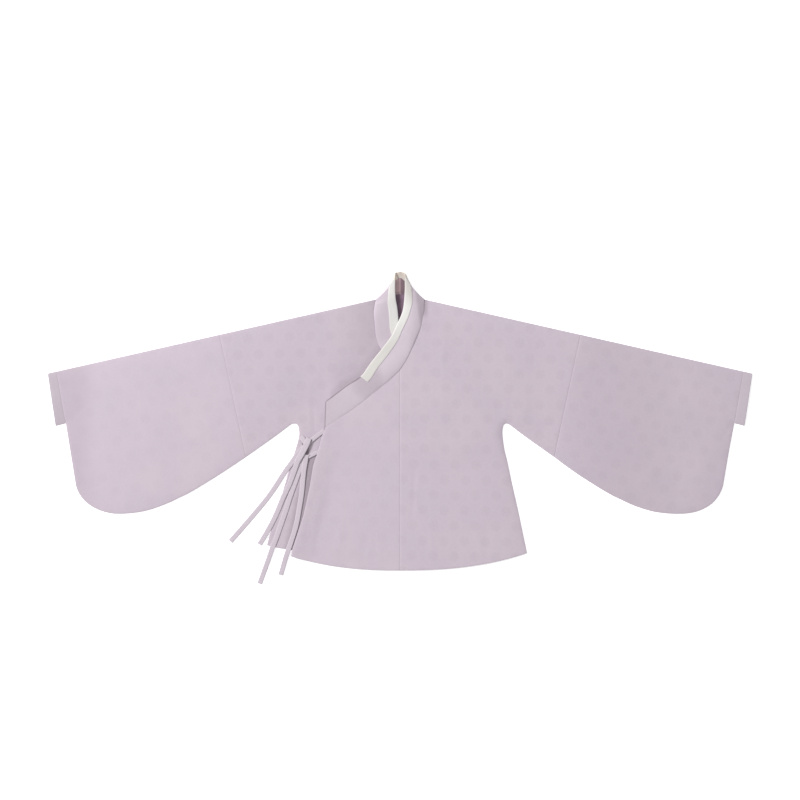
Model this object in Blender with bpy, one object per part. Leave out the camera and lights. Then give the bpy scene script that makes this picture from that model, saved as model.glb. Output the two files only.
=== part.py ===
"""Short cross-collar jacket with lute-shaped sleeves, laid flat with its front up.

X runs along the sleeves, Y towards the neck and Z up from the surface. Every panel is a wall of cloth
cut to an outline; layers that belong together are joined along their folds and closed seams.
"""

import math

import bmesh
import bpy
from mathutils import Vector
from mathutils.geometry import delaunay_2d_cdt

# Walls and gaps, in metres
CLOTH = 0.0012
COLLAR_CLOTH = 0.0018
GUARD_CLOTH = 0.0010
TIE_CLOTH = 0.0012
SEAM = 0.0004

# Levels of the layers' undersides above the surface
UNDER_LEVEL = 0.0016
OVER_LEVEL = 0.0034
OVER_COLLAR_LEVEL = 0.0068
LOFT = 0.0018
LOFT_REACH = 0.0300
OVERLAP_LIFT = 0.0036
OVERLAP_REACH = 0.0600

# Where the levels change, from and to: distances from the centre, or heights
LOFT_FROM = (0.2200, 0.3200)
SLEEVE_FROM = (0.3400, 0.4000)
UNDERARM_FROM = (-0.0300, 0.0300)
FOLD_FROM = (0.0000, 0.0500)
HIDDEN_FLAP_TO = (0.2150, 0.2700)
HIDDEN_COLLAR_TO = (0.2250, 0.2650)
HIDDEN_COLLAR_FROM = (-0.1100, -0.0450)

# Driving sizes of the cut
NECK_X, NECK_Y = 0.0640, 0.3288
SHOULDER_FALL = 0.2258
CUFF_TOP_X = 0.8980
CUFF_SEAM_X = 0.8757
CUFF_FOOT = (0.8780, 0.0066)
CUFF_SEAM_FOOT = (0.8522, 0.0133)
SLEEVE_SEAM_TOP_X = 0.4603
SLEEVE_SEAM_FOOT = (0.3930, -0.0730)
BACK_NECK_Y = 0.3420
BACK_NECK = ((0.0602, 0.3284), (0.0556, 0.3303), (0.0420, 0.3363), (0.0215, 0.3407))
CENTRE_SEAM_TOP = 0.1510
HEM_CENTRE = -0.3615
HEM_RISE_AT = 0.3000
HEM_POWER = 2.4
HEM_RISE_RIGHT = 0.0361
HEM_RISE_LEFT = 0.0435
BACK_HEM_LIFT = 0.0050
FOLD_BULGE = 0.0011
FOLD_ROUND = ((0.15, 0.7), (0.5, 1.0), (0.85, 0.7))
TIE_WIDTH = 0.0130
COLLAR_WIDTH = 0.0530
COLLAR_LEAST = 0.0480
CROSSING_BLEND = 0.0300
GUARD_INNER = 0.0150
GUARD_GAP = 0.0005
COLLAR_SHY = 0.0120
NECK_ROLL_SEAM = 0.0019
NECK_ROLL_FREE = 0.0044
NECK_SLIDE_SEAM = 0.0020
NECK_SLIDE_FREE = 0.0058
NECK_WAIST = 0.0059
NECK_WAIST_FROM = (0.3000, 0.3600)
NECK_WAIST_SIDE = (0.0000, 0.0500)
GUARD_REACH = 0.1020
COLLAR_STEPS = 3
SEAM_CLEAR = 0.0020
HEM_STEP = 0.0300
GRID = 0.0360
EDGE_CLEAR = 0.0144
EDGE_STEP = 0.0300

# Lower edge of the sleeve from the cuff's foot round to the sleeve seam: x, y
SLEEVE_EDGE = (
    (0.8522, 0.0133),
    (0.8405, -0.0590),
    (0.8288, -0.1313),
    (0.8262, -0.1466),
    (0.8205, -0.1619),
    (0.8105, -0.1772),
    (0.7936, -0.1935),
    (0.7676, -0.2078),
    (0.7400, -0.2155),
    (0.7140, -0.2173),
    (0.6780, -0.2150),
    (0.6401, -0.2078),
    (0.5967, -0.1925),
    (0.5636, -0.1772),
    (0.5330, -0.1619),
    (0.4820, -0.1313),
    (0.4350, -0.1010),
    (0.3930, -0.0730),
)

# The same edge of the right sleeve, which hangs a little lower
RIGHT_SLEEVE_EDGE = (
    (0.8522, 0.0133),
    (0.8385, -0.0590),
    (0.8262, -0.1313),
    (0.8234, -0.1466),
    (0.8176, -0.1619),
    (0.8083, -0.1772),
    (0.7926, -0.1935),
    (0.7676, -0.2078),
    (0.7400, -0.2155),
    (0.7140, -0.2175),
    (0.6780, -0.2162),
    (0.6401, -0.2104),
    (0.5967, -0.1966),
    (0.5636, -0.1817),
    (0.5330, -0.1665),
    (0.4820, -0.1356),
    (0.4350, -0.1042),
    (0.3930, -0.0730),
)

# Underarm from the sleeve seam to the armpit: x, y
UNDERARM = ((0.3930, -0.0730), (0.3600, -0.0498), (0.3239, -0.0242), (0.2950, -0.0025))

# Armpit curve and body side, from the armpit down: x, y
RIGHT_SIDE = (
    (0.2950, -0.0025),
    (0.2831, 0.0064),
    (0.2755, 0.0116),
    (0.2690, 0.0125),
    (0.2644, 0.0090),
    (0.2622, 0.0010),
    (0.2614, -0.0166),
    (0.2665, -0.0548),
    (0.2741, -0.0854),
    (0.2869, -0.1466),
    (0.3009, -0.2078),
    (0.3137, -0.2690),
    (0.3239, -0.3175),
)
LEFT_SIDE = (
    (0.2950, -0.0025),
    (0.2831, 0.0064),
    (0.2755, 0.0116),
    (0.2680, 0.0125),
    (0.2615, 0.0090),
    (0.2584, 0.0010),
    (0.2576, -0.0180),
    (0.2627, -0.0395),
    (0.2765, -0.0854),
    (0.2807, -0.1000),
)

# Edges of the left side slit, from its top to the hem: y, x of the front, x of the back
LEFT_SLIT = (
    (-0.1000, 0.2807, 0.2807),
    (-0.1466, 0.2946, 0.2936),
    (-0.2078, 0.3130, 0.3110),
    (-0.2690, 0.3315, 0.3277),
)
LEFT_FRONT_CORNER = (0.3392, -0.2971)
LEFT_BACK_CORNER = (0.3341, -0.2933)

# Hems of the left front, of the back behind it and of the flap that lies under: distance from the centre, y
LEFT_FRONT_HEM = (
    (0.0002, -0.3370),
    (0.0900, -0.3330),
    (0.1800, -0.3250),
    (0.2754, -0.3098),
    (0.3162, -0.3030),
)
LEFT_BACK_HEM = (
    (0.0002, -0.3597),
    (0.0900, -0.3540),
    (0.1800, -0.3360),
    (0.2400, -0.3170),
    (0.2754, -0.3060),
    (0.3162, -0.2975),
)
INNER_FLAP_HEM = ((0.0002, -0.3370), (0.0650, -0.3360), (0.1300, -0.3320), (0.1900, -0.3240))
INNER_FLAP_TOP = (0.1900, -0.0050)

# Free edge of the outer flap, from the collar's end to the hem: x, y
OVERLAP_EDGE = (
    (-0.1925, -0.0040),
    (-0.2008, -0.0230),
    (-0.2068, -0.0440),
    (-0.2130, -0.0660),
    (-0.2202, -0.0860),
    (-0.2248, -0.1058),
    (-0.2302, -0.1352),
    (-0.2365, -0.1645),
    (-0.2430, -0.1935),
    (-0.2485, -0.2231),
    (-0.2556, -0.2522),
    (-0.2655, -0.2818),
    (-0.2736, -0.3080),
    (-0.2775, -0.3258),
)

# Collar over the right front, from its lower end to the neck
# Columns: seam x, seam y, free edge x, free edge y, seam height, free edge height, crown
OVER_COLLAR = (
    (-0.1905, 0.0013, -0.1879, 0.0678, 0.0078, 0.0072, 0.0006),
    (-0.1402, 0.0367, -0.1606, 0.0882, 0.0076, 0.0066, 0.0008),
    (-0.1076, 0.0589, -0.1339, 0.1084, 0.0078, 0.0064, 0.0010),
    (-0.0681, 0.0905, -0.0984, 0.1316, 0.0080, 0.0064, 0.0012),
    (-0.0306, 0.1211, -0.0720, 0.1678, 0.0084, 0.0074, 0.0014),
    (0.0000, 0.1510, -0.0420, 0.2052, 0.0086, 0.0100, 0.0016),
    (0.0209, 0.1839, -0.0205, 0.2347, 0.0086, 0.0112, 0.0020),
    (0.0382, 0.2218, -0.0074, 0.2618, 0.0084, 0.0120, 0.0028),
    (0.0523, 0.2575, 0.0044, 0.2866, 0.0078, 0.0124, 0.0036),
    (0.0598, 0.2920, 0.0102, 0.3060, 0.0068, 0.0124, 0.0040),
    (0.0616, 0.3150, 0.0128, 0.3315, 0.0058, 0.0120, 0.0036),
    (0.0618, 0.3212, 0.0135, 0.3600, 0.0052, 0.0120, 0.0026),
)

# Collar under the left front, from the neck to its hidden lower end; same columns
UNDER_COLLAR = (
    (-0.0630, 0.3212, -0.0135, 0.3600, 0.0050, 0.0117, 0.0024),
    (-0.0642, 0.3150, -0.0128, 0.3315, 0.0054, 0.0112, 0.0034),
    (-0.0668, 0.2930, -0.0076, 0.3034, 0.0046, 0.0092, 0.0034),
    (-0.0645, 0.2703, -0.0041, 0.2782, 0.0038, 0.0070, 0.0022),
    (-0.0612, 0.2361, -0.0012, 0.2512, 0.0032, 0.0052, 0.0008),
    (-0.0515, 0.2080, 0.0122, 0.2262, 0.0032, 0.0042, 0.0002),
    (-0.0262, 0.1770, 0.0376, 0.2002, 0.0032, 0.0040, 0.0),
    (0.0000, 0.1510, 0.0688, 0.1721, 0.0032, 0.0040, 0.0),
    (0.0510, 0.1109, 0.1020, 0.1466, 0.0032, 0.0040, 0.0),
    (0.1020, 0.0701, 0.1428, 0.1135, 0.0032, 0.0040, 0.0),
    (0.1850, 0.0050, 0.1879, 0.0676, 0.0032, 0.0040, 0.0),
)

# Collar behind the neck, right of the centre; same columns
BACK_COLLAR = (
    (0.0570, 0.3326, 0.0049, 0.3970, 0.0012, 0.0034, 0.0),
    (0.0450, 0.3372, 0.0037, 0.3979, 0.0012, 0.0034, 0.0),
    (0.0225, 0.3410, 0.0019, 0.3984, 0.0012, 0.0034, 0.0),
    (0.0000, 0.3420, 0.0000, 0.3985, 0.0012, 0.0034, 0.0),
)
# How wide the guard's outer leg shows at this height of the free edge, on the over and under fronts
GUARD_OVER = (
    (0.1500, 0.0206),
    (0.1680, 0.0201),
    (0.2050, 0.0195),
    (0.2350, 0.0178),
    (0.2620, 0.0165),
    (0.3060, 0.0167),
    (0.3320, 0.0204),
    (0.3700, 0.0212),
)
GUARD_UNDER = ((0.3000, 0.0213), (0.3500, 0.0199))
NECK_FOLD_SEAM = (0.0610, 0.3276)
NECK_FOLD_FREE = (0.0092, 0.3920)

# Ties. Columns: x, y, height of the underside
TIE_UPPER_OUTER = (
    (-0.1860, -0.0010, 0.0034),
    (-0.2010, -0.0110, 0.0036),
    (-0.2249, -0.0291, 0.0052),
    (-0.2371, -0.0395, 0.0056),
    (-0.2530, -0.0680, 0.0054),
    (-0.2630, -0.0885, 0.0052),
    (-0.2690, -0.1060, 0.0050),
    (-0.2815, -0.1400, 0.0050),
    (-0.2897, -0.1580, 0.0047),
    (-0.2980, -0.1754, 0.0036),
    (-0.3155, -0.2178, 0.0033),
    (-0.3345, -0.2558, 0.0032),
    (-0.3583, -0.2958, 0.0004),
)
TIE_UPPER_INNER = (
    (-0.2542, -0.0090, 0.0033),
    (-0.2490, -0.0230, 0.0033),
    (-0.2458, -0.0370, 0.0033),
    (-0.2510, -0.0510, 0.0033),
    (-0.2640, -0.0690, 0.0033),
    (-0.2774, -0.0887, 0.0033),
    (-0.2890, -0.1040, 0.0032),
    (-0.3037, -0.1262, 0.0024),
    (-0.3172, -0.1475, 0.0010),
    (-0.3400, -0.1798, 0.0),
    (-0.3855, -0.2343, 0.0),
    (-0.4325, -0.2880, 0.0),
)
TIE_LOWER_INNER = (
    (-0.2397, -0.0599, 0.0033),
    (-0.2500, -0.0790, 0.0033),
    (-0.2560, -0.1015, 0.0033),
    (-0.2624, -0.1227, 0.0033),
    (-0.2795, -0.1714, 0.0033),
    (-0.2922, -0.2114, 0.0033),
    (-0.3105, -0.2642, 0.0033),
    (-0.3255, -0.3045, 0.0033),
    (-0.3425, -0.3532, 0.0006),
    (-0.3580, -0.3958, 0.0),
)
TIE_LOWER_OUTER = (
    (-0.1990, -0.0600, 0.0034),
    (-0.2104, -0.0632, 0.0036),
    (-0.2300, -0.0690, 0.0050),
    (-0.2390, -0.0760, 0.0054),
    (-0.2405, -0.0880, 0.0052),
    (-0.2440, -0.1015, 0.0052),
    (-0.2466, -0.1250, 0.0042),
    (-0.2490, -0.1502, 0.0033),
    (-0.2550, -0.1986, 0.0033),
    (-0.2644, -0.2453, 0.0033),
    (-0.2772, -0.2876, 0.0034),
    (-0.2897, -0.3236, 0.0030),
    (-0.3042, -0.3736, 0.0),
)

LILAC = (0.60, 0.53, 0.585, 1.0)
WHITE = (0.76, 0.74, 0.72, 1.0)
ROUGHNESS = 0.78


def rise(start, end, value):
    """0 before start, 1 past end and smooth between; start may be the larger."""
    part = min(max((value - start) / (end - start), 0.0), 1.0)
    return part * part * (3.0 - 2.0 * part)


def smooth_rows(rows, steps):
    """A Catmull-Rom curve through rows of any number of columns."""
    out = []
    last = len(rows) - 1
    for i in range(last):
        before = rows[max(i - 1, 0)]
        a, b = rows[i], rows[i + 1]
        after = rows[min(i + 2, last)]
        for k in range(steps):
            t = k / steps
            out.append(
                tuple(
                    0.5
                    * (
                        2.0 * q
                        + (r - p) * t
                        + (2.0 * p - 5.0 * q + 4.0 * r - s) * t * t
                        + (3.0 * q - p - 3.0 * r + s) * t ** 3
                    )
                    for p, q, r, s in zip(before, a, b, after)
                )
            )
    out.append(tuple(rows[last]))
    return out


def shoulder_y(x):
    return NECK_Y - SHOULDER_FALL * (x - NECK_X)


def hem_y(x):
    size = HEM_RISE_RIGHT if x > 0.0 else HEM_RISE_LEFT
    return HEM_CENTRE + size * (abs(x) / HEM_RISE_AT) ** HEM_POWER


def split(points, step=EDGE_STEP):
    """The points with more between them, none further than step apart."""
    out = [points[0]]
    for a, b in zip(points, points[1:]):
        count = max(1, math.ceil(math.dist(a, b) / step))
        for k in range(1, count + 1):
            out.append((a[0] + (b[0] - a[0]) * k / count, a[1] + (b[1] - a[1]) * k / count))
    return out


def to_segment(p, a, b):
    ax, ay = b[0] - a[0], b[1] - a[1]
    part = ((p[0] - a[0]) * ax + (p[1] - a[1]) * ay) / max(ax * ax + ay * ay, 1e-12)
    part = min(max(part, 0.0), 1.0)
    return math.hypot(p[0] - a[0] - part * ax, p[1] - a[1] - part * ay)


JOINED_EDGE = (
    [(NECK_X, NECK_Y), (CUFF_TOP_X, shoulder_y(CUFF_TOP_X))],
    [CUFF_FOOT, *SLEEVE_EDGE, *UNDERARM[1:], *RIGHT_SIDE[1:]],
)


def loft(x, y):
    """Air left between the layers of the sleeves, none at their folds and seams or in the body."""
    share = rise(*LOFT_FROM, abs(x)) * max(rise(*SLEEVE_FROM, abs(x)), rise(*UNDERARM_FROM, y))
    if share == 0.0:
        return 0.0
    p = (abs(x), y)
    near = min(to_segment(p, a, b) for run in JOINED_EDGE for a, b in zip(run, run[1:]))
    return LOFT * (1.0 - math.exp(-near / LOFT_REACH)) * share


def looked_up(table, value):
    """The second number of the table where its first has this value, straight between rows."""
    for a, b in zip(table, table[1:]):
        if value <= b[0]:
            return a[1] + (b[1] - a[1]) * max(value - a[0], 0.0) / (b[0] - a[0])
    return table[-1][1]


def overlap_x(y):
    """The free edge of the outer flap at this height."""
    for a, b in zip(OVERLAP_EDGE, OVERLAP_EDGE[1:]):
        if y >= b[1]:
            return a[0] + (b[0] - a[0]) * (a[1] - y) / (a[1] - b[1])
    return OVERLAP_EDGE[-1][0]


def back_level(x, y):
    return 0.0


def front_level(x, y):
    """Underside of the sleeves' upper layer and of the front that lies under."""
    return UNDER_LEVEL + loft(x, y)


def over_level(x, y):
    """Underside of the front that lies on top: clear of the hidden flap and of the hidden collar."""
    fold = rise(*FOLD_FROM, (shoulder_y(x) - y) * math.cos(math.atan(SHOULDER_FALL)))
    flap = 1.0 - rise(*HIDDEN_FLAP_TO, x)
    collar = (1.0 - rise(*HIDDEN_COLLAR_TO, x)) * rise(*HIDDEN_COLLAR_FROM, y)
    lift = OVERLAP_LIFT * (1.0 - rise(0.0, OVERLAP_REACH, x - overlap_x(y))) * (1.0 - 0.6 * collar)
    over = flap * (OVER_LEVEL - UNDER_LEVEL) + collar * (OVER_COLLAR_LEVEL - OVER_LEVEL)
    return UNDER_LEVEL + fold * over + lift + loft(x, y)


def area(points):
    return 0.5 * sum(a[0] * b[1] - b[0] * a[1] for a, b in zip(points, points[1:] + points[:1]))


def inside(p, points):
    found = False
    for a, b in zip(points, points[1:] + points[:1]):
        if (a[1] > p[1]) != (b[1] > p[1]) and p[0] < (b[0] - a[0]) * (p[1] - a[1]) / (b[1] - a[1]) + a[0]:
            found = not found
    return found


class Outline:
    """A closed cut made of runs, each open or joined to the other layer."""

    def __init__(self, *runs):
        self.points, self.joined = [], []
        for kind, points in runs:
            for a, b in zip(points, points[1:]):
                self.points.append(a)
                self.joined.append(kind == "join")
        if area(self.points) < 0.0:
            self.points = [self.points[0]] + self.points[:0:-1]
            self.joined = self.joined[::-1]
        self.out = []
        count = len(self.points)
        for i in range(count):
            before, after = self.normal(i - 1), self.normal(i)
            kinds = self.joined[i - 1], self.joined[i]
            if kinds[0] and kinds[1]:
                mean = (before[0] + after[0], before[1] + after[1])
            else:
                mean = before if kinds[0] else after
            size = math.hypot(*mean) or 1.0
            self.out.append((mean[0] / size, mean[1] / size))
        for i, (p, n) in enumerate(zip(list(self.points), self.out)):
            if self.joined[i - 1] or self.joined[i]:
                self.points[i] = (p[0] - n[0] * FOLD_BULGE, p[1] - n[1] * FOLD_BULGE)

    def normal(self, i):
        a, b = self.points[i], self.points[(i + 1) % len(self.points)]
        size = math.dist(a, b) or 1.0
        return (b[1] - a[1]) / size, (a[0] - b[0]) / size

    def mesh(self):
        """Points of the cut with a grid inside it, and its triangles."""
        edge = self.points
        sides = list(zip(edge, edge[1:] + edge[:1]))
        xs, ys = [p[0] for p in edge], [p[1] for p in edge]
        within = []
        for i in range(math.floor(min(xs) / GRID), math.ceil(max(xs) / GRID) + 1):
            for j in range(math.floor(min(ys) / GRID), math.ceil(max(ys) / GRID) + 1):
                p = ((i + 0.5 * (j % 2)) * GRID, j * GRID)
                if inside(p, edge) and min(to_segment(p, a, b) for a, b in sides) > EDGE_CLEAR:
                    within.append(p)
        given = [Vector(p) for p in edge + within]
        rim = [(i, (i + 1) % len(edge)) for i in range(len(edge))]
        points, _, faces, origin, _, _ = delaunay_2d_cdt(given, rim, [], 1, 1e-7)
        index = [o[0] for o in origin]
        return edge + within, [tuple(index[i] for i in face) for face in faces]


def finish(name, mesh, colour):
    bmesh.ops.recalc_face_normals(mesh, faces=mesh.faces)
    data = bpy.data.meshes.new(name)
    mesh.to_mesh(data)
    mesh.free()
    material = bpy.data.materials.new(name)
    material.use_nodes = True
    shader = material.node_tree.nodes["Principled BSDF"]
    shader.inputs["Base Color"].default_value = colour
    shader.inputs["Roughness"].default_value = ROUGHNESS
    shader.inputs["Metallic"].default_value = 0.0
    data.materials.append(material)
    for polygon in data.polygons:
        polygon.use_smooth = True
    data.set_sharp_from_angle(angle=math.radians(50.0))
    bpy.context.scene.collection.objects.link(bpy.data.objects.new(name, data))


def skins(mesh, outline, level):
    """Upper and lower skin of one layer, with walls along its open edges."""
    points, faces = outline.mesh()
    lower = [mesh.verts.new((x, y, level(x, y))) for x, y in points]
    upper = [mesh.verts.new((x, y, level(x, y) + CLOTH)) for x, y in points]
    for face in faces:
        mesh.faces.new([upper[i] for i in face])
        mesh.faces.new([lower[i] for i in reversed(face)])
    count = len(outline.points)
    for i in range(count):
        if not outline.joined[i]:
            j = (i + 1) % count
            mesh.faces.new((lower[i], lower[j], upper[j], upper[i]))
    return lower, upper


def joined_edge(mesh, front, back, front_skins, back_skins):
    """The fold or closed seam between two layers: a rounded outer skin and a plain inner one."""
    partner = {}
    for i, p in enumerate(front.points):
        if front.joined[i] or front.joined[i - 1]:
            partner[i] = min(range(len(back.points)), key=lambda k: math.dist(p, back.points[k]))
    chains = {}
    for i, j in partner.items():
        top, foot = front_skins[1][i], back_skins[0][j]
        out = Vector((*front.out[i], 0.0))
        round_points = [top.co.lerp(foot.co, part) + out * FOLD_BULGE * size for part, size in FOLD_ROUND]
        chains[i] = [top, *(mesh.verts.new(p) for p in round_points), foot]
    count = len(front.points)
    for i, j in partner.items():
        after = (i + 1) % count
        inner = front_skins[0][i], back_skins[1][j]
        if front.joined[i]:
            for k in range(len(FOLD_ROUND) + 1):
                mesh.faces.new((chains[i][k], chains[i][k + 1], chains[after][k + 1], chains[after][k]))
            mesh.faces.new((inner[0], front_skins[0][after], back_skins[1][partner[after]], inner[1]))
        if front.joined[i] != front.joined[i - 1]:
            mesh.faces.new([*chains[i], inner[1], inner[0]])


def panel(name, front, back=None, level=front_level):
    """One piece of cloth: a single layer, or a front and a back joined along the joined runs."""
    mesh = bmesh.new()
    front_skins = skins(mesh, front, level)
    if back:
        back_skins = skins(mesh, back, back_level)
        joined_edge(mesh, front, back, front_skins, back_skins)
    finish(name, mesh, LILAC)


def section_normals(rows):
    """Unit normals of the collar's grid on its outer face, which is up on the fronts."""
    out = []
    for i, row in enumerate(rows):
        before, after = rows[max(i - 1, 0)], rows[min(i + 1, len(rows) - 1)]
        line = []
        for k in range(len(row)):
            ruling = row[min(k + 1, len(row) - 1)] - row[max(k - 1, 0)]
            line.append((after[k] - before[k]).cross(ruling).normalized())
        out.append(line)
    return out


def strip(name, sections, colour):
    """A closed strip whose sections are closed loops of the same number of points."""
    mesh = bmesh.new()
    rings = [[mesh.verts.new(p) for p in section] for section in sections]
    count = len(rings[0])
    for a, b in zip(rings, rings[1:]):
        for k in range(count):
            mesh.faces.new((a[k], a[(k + 1) % count], b[(k + 1) % count], b[k]))
    for end in (rings[0], rings[-1]):
        half = count // 2
        for k in range(half - 1):
            mesh.faces.new((end[k], end[k + 1], end[count - 2 - k], end[count - 1 - k]))
    finish(name, mesh, colour)


def mirrored(row):
    return (-row[0], row[1], -row[2], *row[3:])


def neck_turn(side, front_row, steps=8):
    """Rows of the collar rolling from the front, over the side of the neck, to the back."""
    seam, free = Vector((*NECK_FOLD_SEAM, 0.0)), Vector((*NECK_FOLD_FREE, 0.0))
    line = (free - seam).normalized()
    out = Vector((line.y, -line.x, 0.0))
    rows = []
    for k in range(steps + 1):
        turn = math.pi * k / steps
        along = 2.0 * k / steps - 1.0
        a = seam + out * NECK_ROLL_SEAM * math.sin(turn) + line * NECK_SLIDE_SEAM * along
        b = free + out * NECK_ROLL_FREE * math.sin(turn) + line * NECK_SLIDE_FREE * along
        seam_z = BACK_COLLAR[0][4] + NECK_ROLL_SEAM * (1.0 + math.cos(turn))
        free_z = BACK_COLLAR[0][5] + NECK_ROLL_FREE * (1.0 + math.cos(turn))
        crown = front_row[6] * 0.6 * max(math.cos(turn), 0.0) ** 2
        rows.append((side * a.x, a.y, side * b.x, b.y, seam_z, free_z, crown))
    return rows


def collar_rows():
    over = smooth_rows(OVER_COLLAR, COLLAR_STEPS)
    under = smooth_rows(UNDER_COLLAR, COLLAR_STEPS)
    right_turn = neck_turn(1.0, OVER_COLLAR[-1])
    left_turn = neck_turn(-1.0, UNDER_COLLAR[0])[::-1]
    back = smooth_rows((*BACK_COLLAR, *(mirrored(row) for row in BACK_COLLAR[-2::-1])), 2)
    return over + right_turn + back + left_turn + under


def across(row, shares):
    """Points across the collar at these shares of its width, 0 at the seam and 1 at the free edge."""
    seam, free = Vector((row[0], row[1], row[4])), Vector((row[2], row[3], row[5]))
    ruling = (free - seam).normalized()
    waist = NECK_WAIST * rise(*NECK_WAIST_FROM, row[3]) * rise(*NECK_WAIST_SIDE, abs(row[0]))
    bow = Vector((-ruling.y, ruling.x, 0.0)) * math.copysign(waist, row[0])
    bow.z = row[6]
    return [seam.lerp(free, w) + bow * 4.0 * w * (1.0 - w) for w in shares]


def make_collar(rows):
    shares = (SEAM / COLLAR_WIDTH, 0.25, 0.5, 0.7, 0.84, 0.93, 1.0 - COLLAR_SHY)
    grid = [across(row, shares) for row in rows]
    half = 0.5 * COLLAR_CLOTH
    sections = []
    for line, normals in zip(grid, section_normals(grid)):
        top = [p + n * half for p, n in zip(line, normals)]
        foot = [p - n * half for p, n in zip(line, normals)]
        sections.append(top + foot[::-1])
    strip("collar", sections, LILAC)


def guard_shares(rows):
    """Where the guard's two legs start and end, as shares of the collar's width, row by row."""
    out = []
    for i, row in enumerate(rows):
        before, after = rows[max(i - 1, 0)], rows[min(i + 1, len(rows) - 1)]
        along = Vector((after[2] - before[2], after[3] - before[3], after[5] - before[5])).normalized()
        ruling = Vector((row[2] - row[0], row[3] - row[1], row[5] - row[4]))
        width = max((ruling - along * ruling.dot(along)).length, COLLAR_LEAST)
        over = rise(-CROSSING_BLEND, CROSSING_BLEND, row[0] - row[2])
        outer = over * looked_up(GUARD_OVER, row[3]) + (1.0 - over) * looked_up(GUARD_UNDER, row[3])
        start, foot = 1.0 - outer / width, 1.0 - GUARD_INNER / width
        out.append((start, 0.5 * (start + foot), foot, 0.5 * (1.0 + foot), 1.0))
    return out


def make_guard(rows):
    """The guard wraps the free edge: a wide leg on the collar's outer face, a narrower one inside."""
    inner = 0.5 * COLLAR_CLOTH + GUARD_GAP
    outer = inner + GUARD_CLOTH
    grid = [across(row, shares) for row, shares in zip(rows, guard_shares(rows))]
    sections = []
    for line, normals in zip(grid, section_normals(grid)):
        edge = (line[-1] - line[-2]).normalized()
        gap, full = edge * GUARD_GAP, edge * (GUARD_GAP + GUARD_CLOTH)
        top_out = [p + n * outer for p, n in zip(line, normals)]
        top_in = [p + n * inner for p, n in zip(line, normals)]
        low_out = [p - n * outer for p, n in zip(line[2:], normals[2:])]
        low_in = [p - n * inner for p, n in zip(line[2:], normals[2:])]
        out_turn = [top_out[-1] + full * 0.5, line[-1] + full, low_out[-1] + full * 0.5]
        in_turn = [top_in[-1] + gap, line[-1] + gap * 1.1, low_in[-1] + gap]
        out_path = top_out[:-1] + out_turn + low_out[-2::-1]
        in_path = top_in[:-1] + in_turn + low_in[-2::-1]
        sections.append(out_path + in_path[::-1])
    strip("collar_guard", sections, WHITE)


def make_tie(name, table):
    rows = smooth_rows(table, 2)
    sections = []
    for i, (x, y, z) in enumerate(rows):
        a, b = rows[max(i - 1, 0)], rows[min(i + 1, len(rows) - 1)]
        along = Vector((b[0] - a[0], b[1] - a[1], 0.0)).normalized()
        side = Vector((-along.y, along.x, 0.0)) * (0.5 * TIE_WIDTH)
        middle = Vector((x, y, max(z, 0.0)))
        up = Vector((0.0, 0.0, TIE_CLOTH))
        sections.append([middle + side + up, middle - side + up, middle - side, middle + side])
    strip(name, sections, LILAC)


def flipped(points):
    return [(-x, y) for x, y in points]


def cut(flip, *runs):
    return Outline(*((kind, flipped(points) if flip else points) for kind, points in runs))


def seam_points(table, keep):
    """The collar's seam on the panels, where its x meets the test."""
    return [row[:2] for row in smooth_rows(table, COLLAR_STEPS) if keep(row[0])]


def centre_line(top, foot):
    return split([(SEAM / 2, top), (SEAM / 2, foot)])


def hem_line(side, lift, corner):
    """A curved hem from the centre seam to its corner, lift above the front hem."""
    xs = [SEAM / 2] + [HEM_STEP * k for k in range(1, int((corner[0] - 0.01) / HEM_STEP) + 1)]
    return [(x, hem_y(side * x) + lift) for x in xs] + [corner]


def body(name, flip, side, level, front_hem, back_hem, neckline):
    """A body length: front and back in one, folded at the shoulder and closed at the underarm."""
    shoulder = split([(SLEEVE_SEAM_TOP_X, shoulder_y(SLEEVE_SEAM_TOP_X)), (NECK_X, NECK_Y)])
    sleeve_seam = split([SLEEVE_SEAM_FOOT, shoulder[0]])
    closed = split([*side[::-1], *UNDERARM[-2::-1]])
    slit = [[], []]
    if flip:
        for k, corner in enumerate((LEFT_FRONT_CORNER, LEFT_BACK_CORNER)):
            slit[k] = [("open", split([corner, *((row[1 + k], row[0]) for row in LEFT_SLIT[::-1])]))]
    layers = []
    for hem, side_slit, neck in (
        (front_hem, slit[0], [(NECK_X, NECK_Y), *neckline, (SEAM / 2, CENTRE_SEAM_TOP)]),
        (back_hem, slit[1], [(NECK_X, NECK_Y), *BACK_NECK, (SEAM / 2, BACK_NECK_Y)]),
    ):
        layers.append(
            cut(
                flip,
                ("open", hem),
                *side_slit,
                ("join", closed),
                ("open", sleeve_seam),
                ("join", shoulder),
                ("open", neck),
                ("open", centre_line(neck[-1][1], hem[0][1])),
            )
        )
    panel(name, *layers, level)


def body_right():
    corner = RIGHT_SIDE[-1]
    neckline = seam_points(OVER_COLLAR, lambda x: x > SEAM_CLEAR)[::-1]
    hems = hem_line(1.0, 0.0, corner), hem_line(1.0, BACK_HEM_LIFT, corner)
    body("body_right", False, RIGHT_SIDE, over_level, *hems, neckline)


def body_left():
    neckline = flipped(seam_points(UNDER_COLLAR, lambda x: x < -SEAM_CLEAR))
    front_hem = split([*LEFT_FRONT_HEM, LEFT_FRONT_CORNER])
    back_hem = split([*LEFT_BACK_HEM, LEFT_BACK_CORNER])
    body("body_left", True, LEFT_SIDE, front_level, front_hem, back_hem, neckline)


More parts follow.
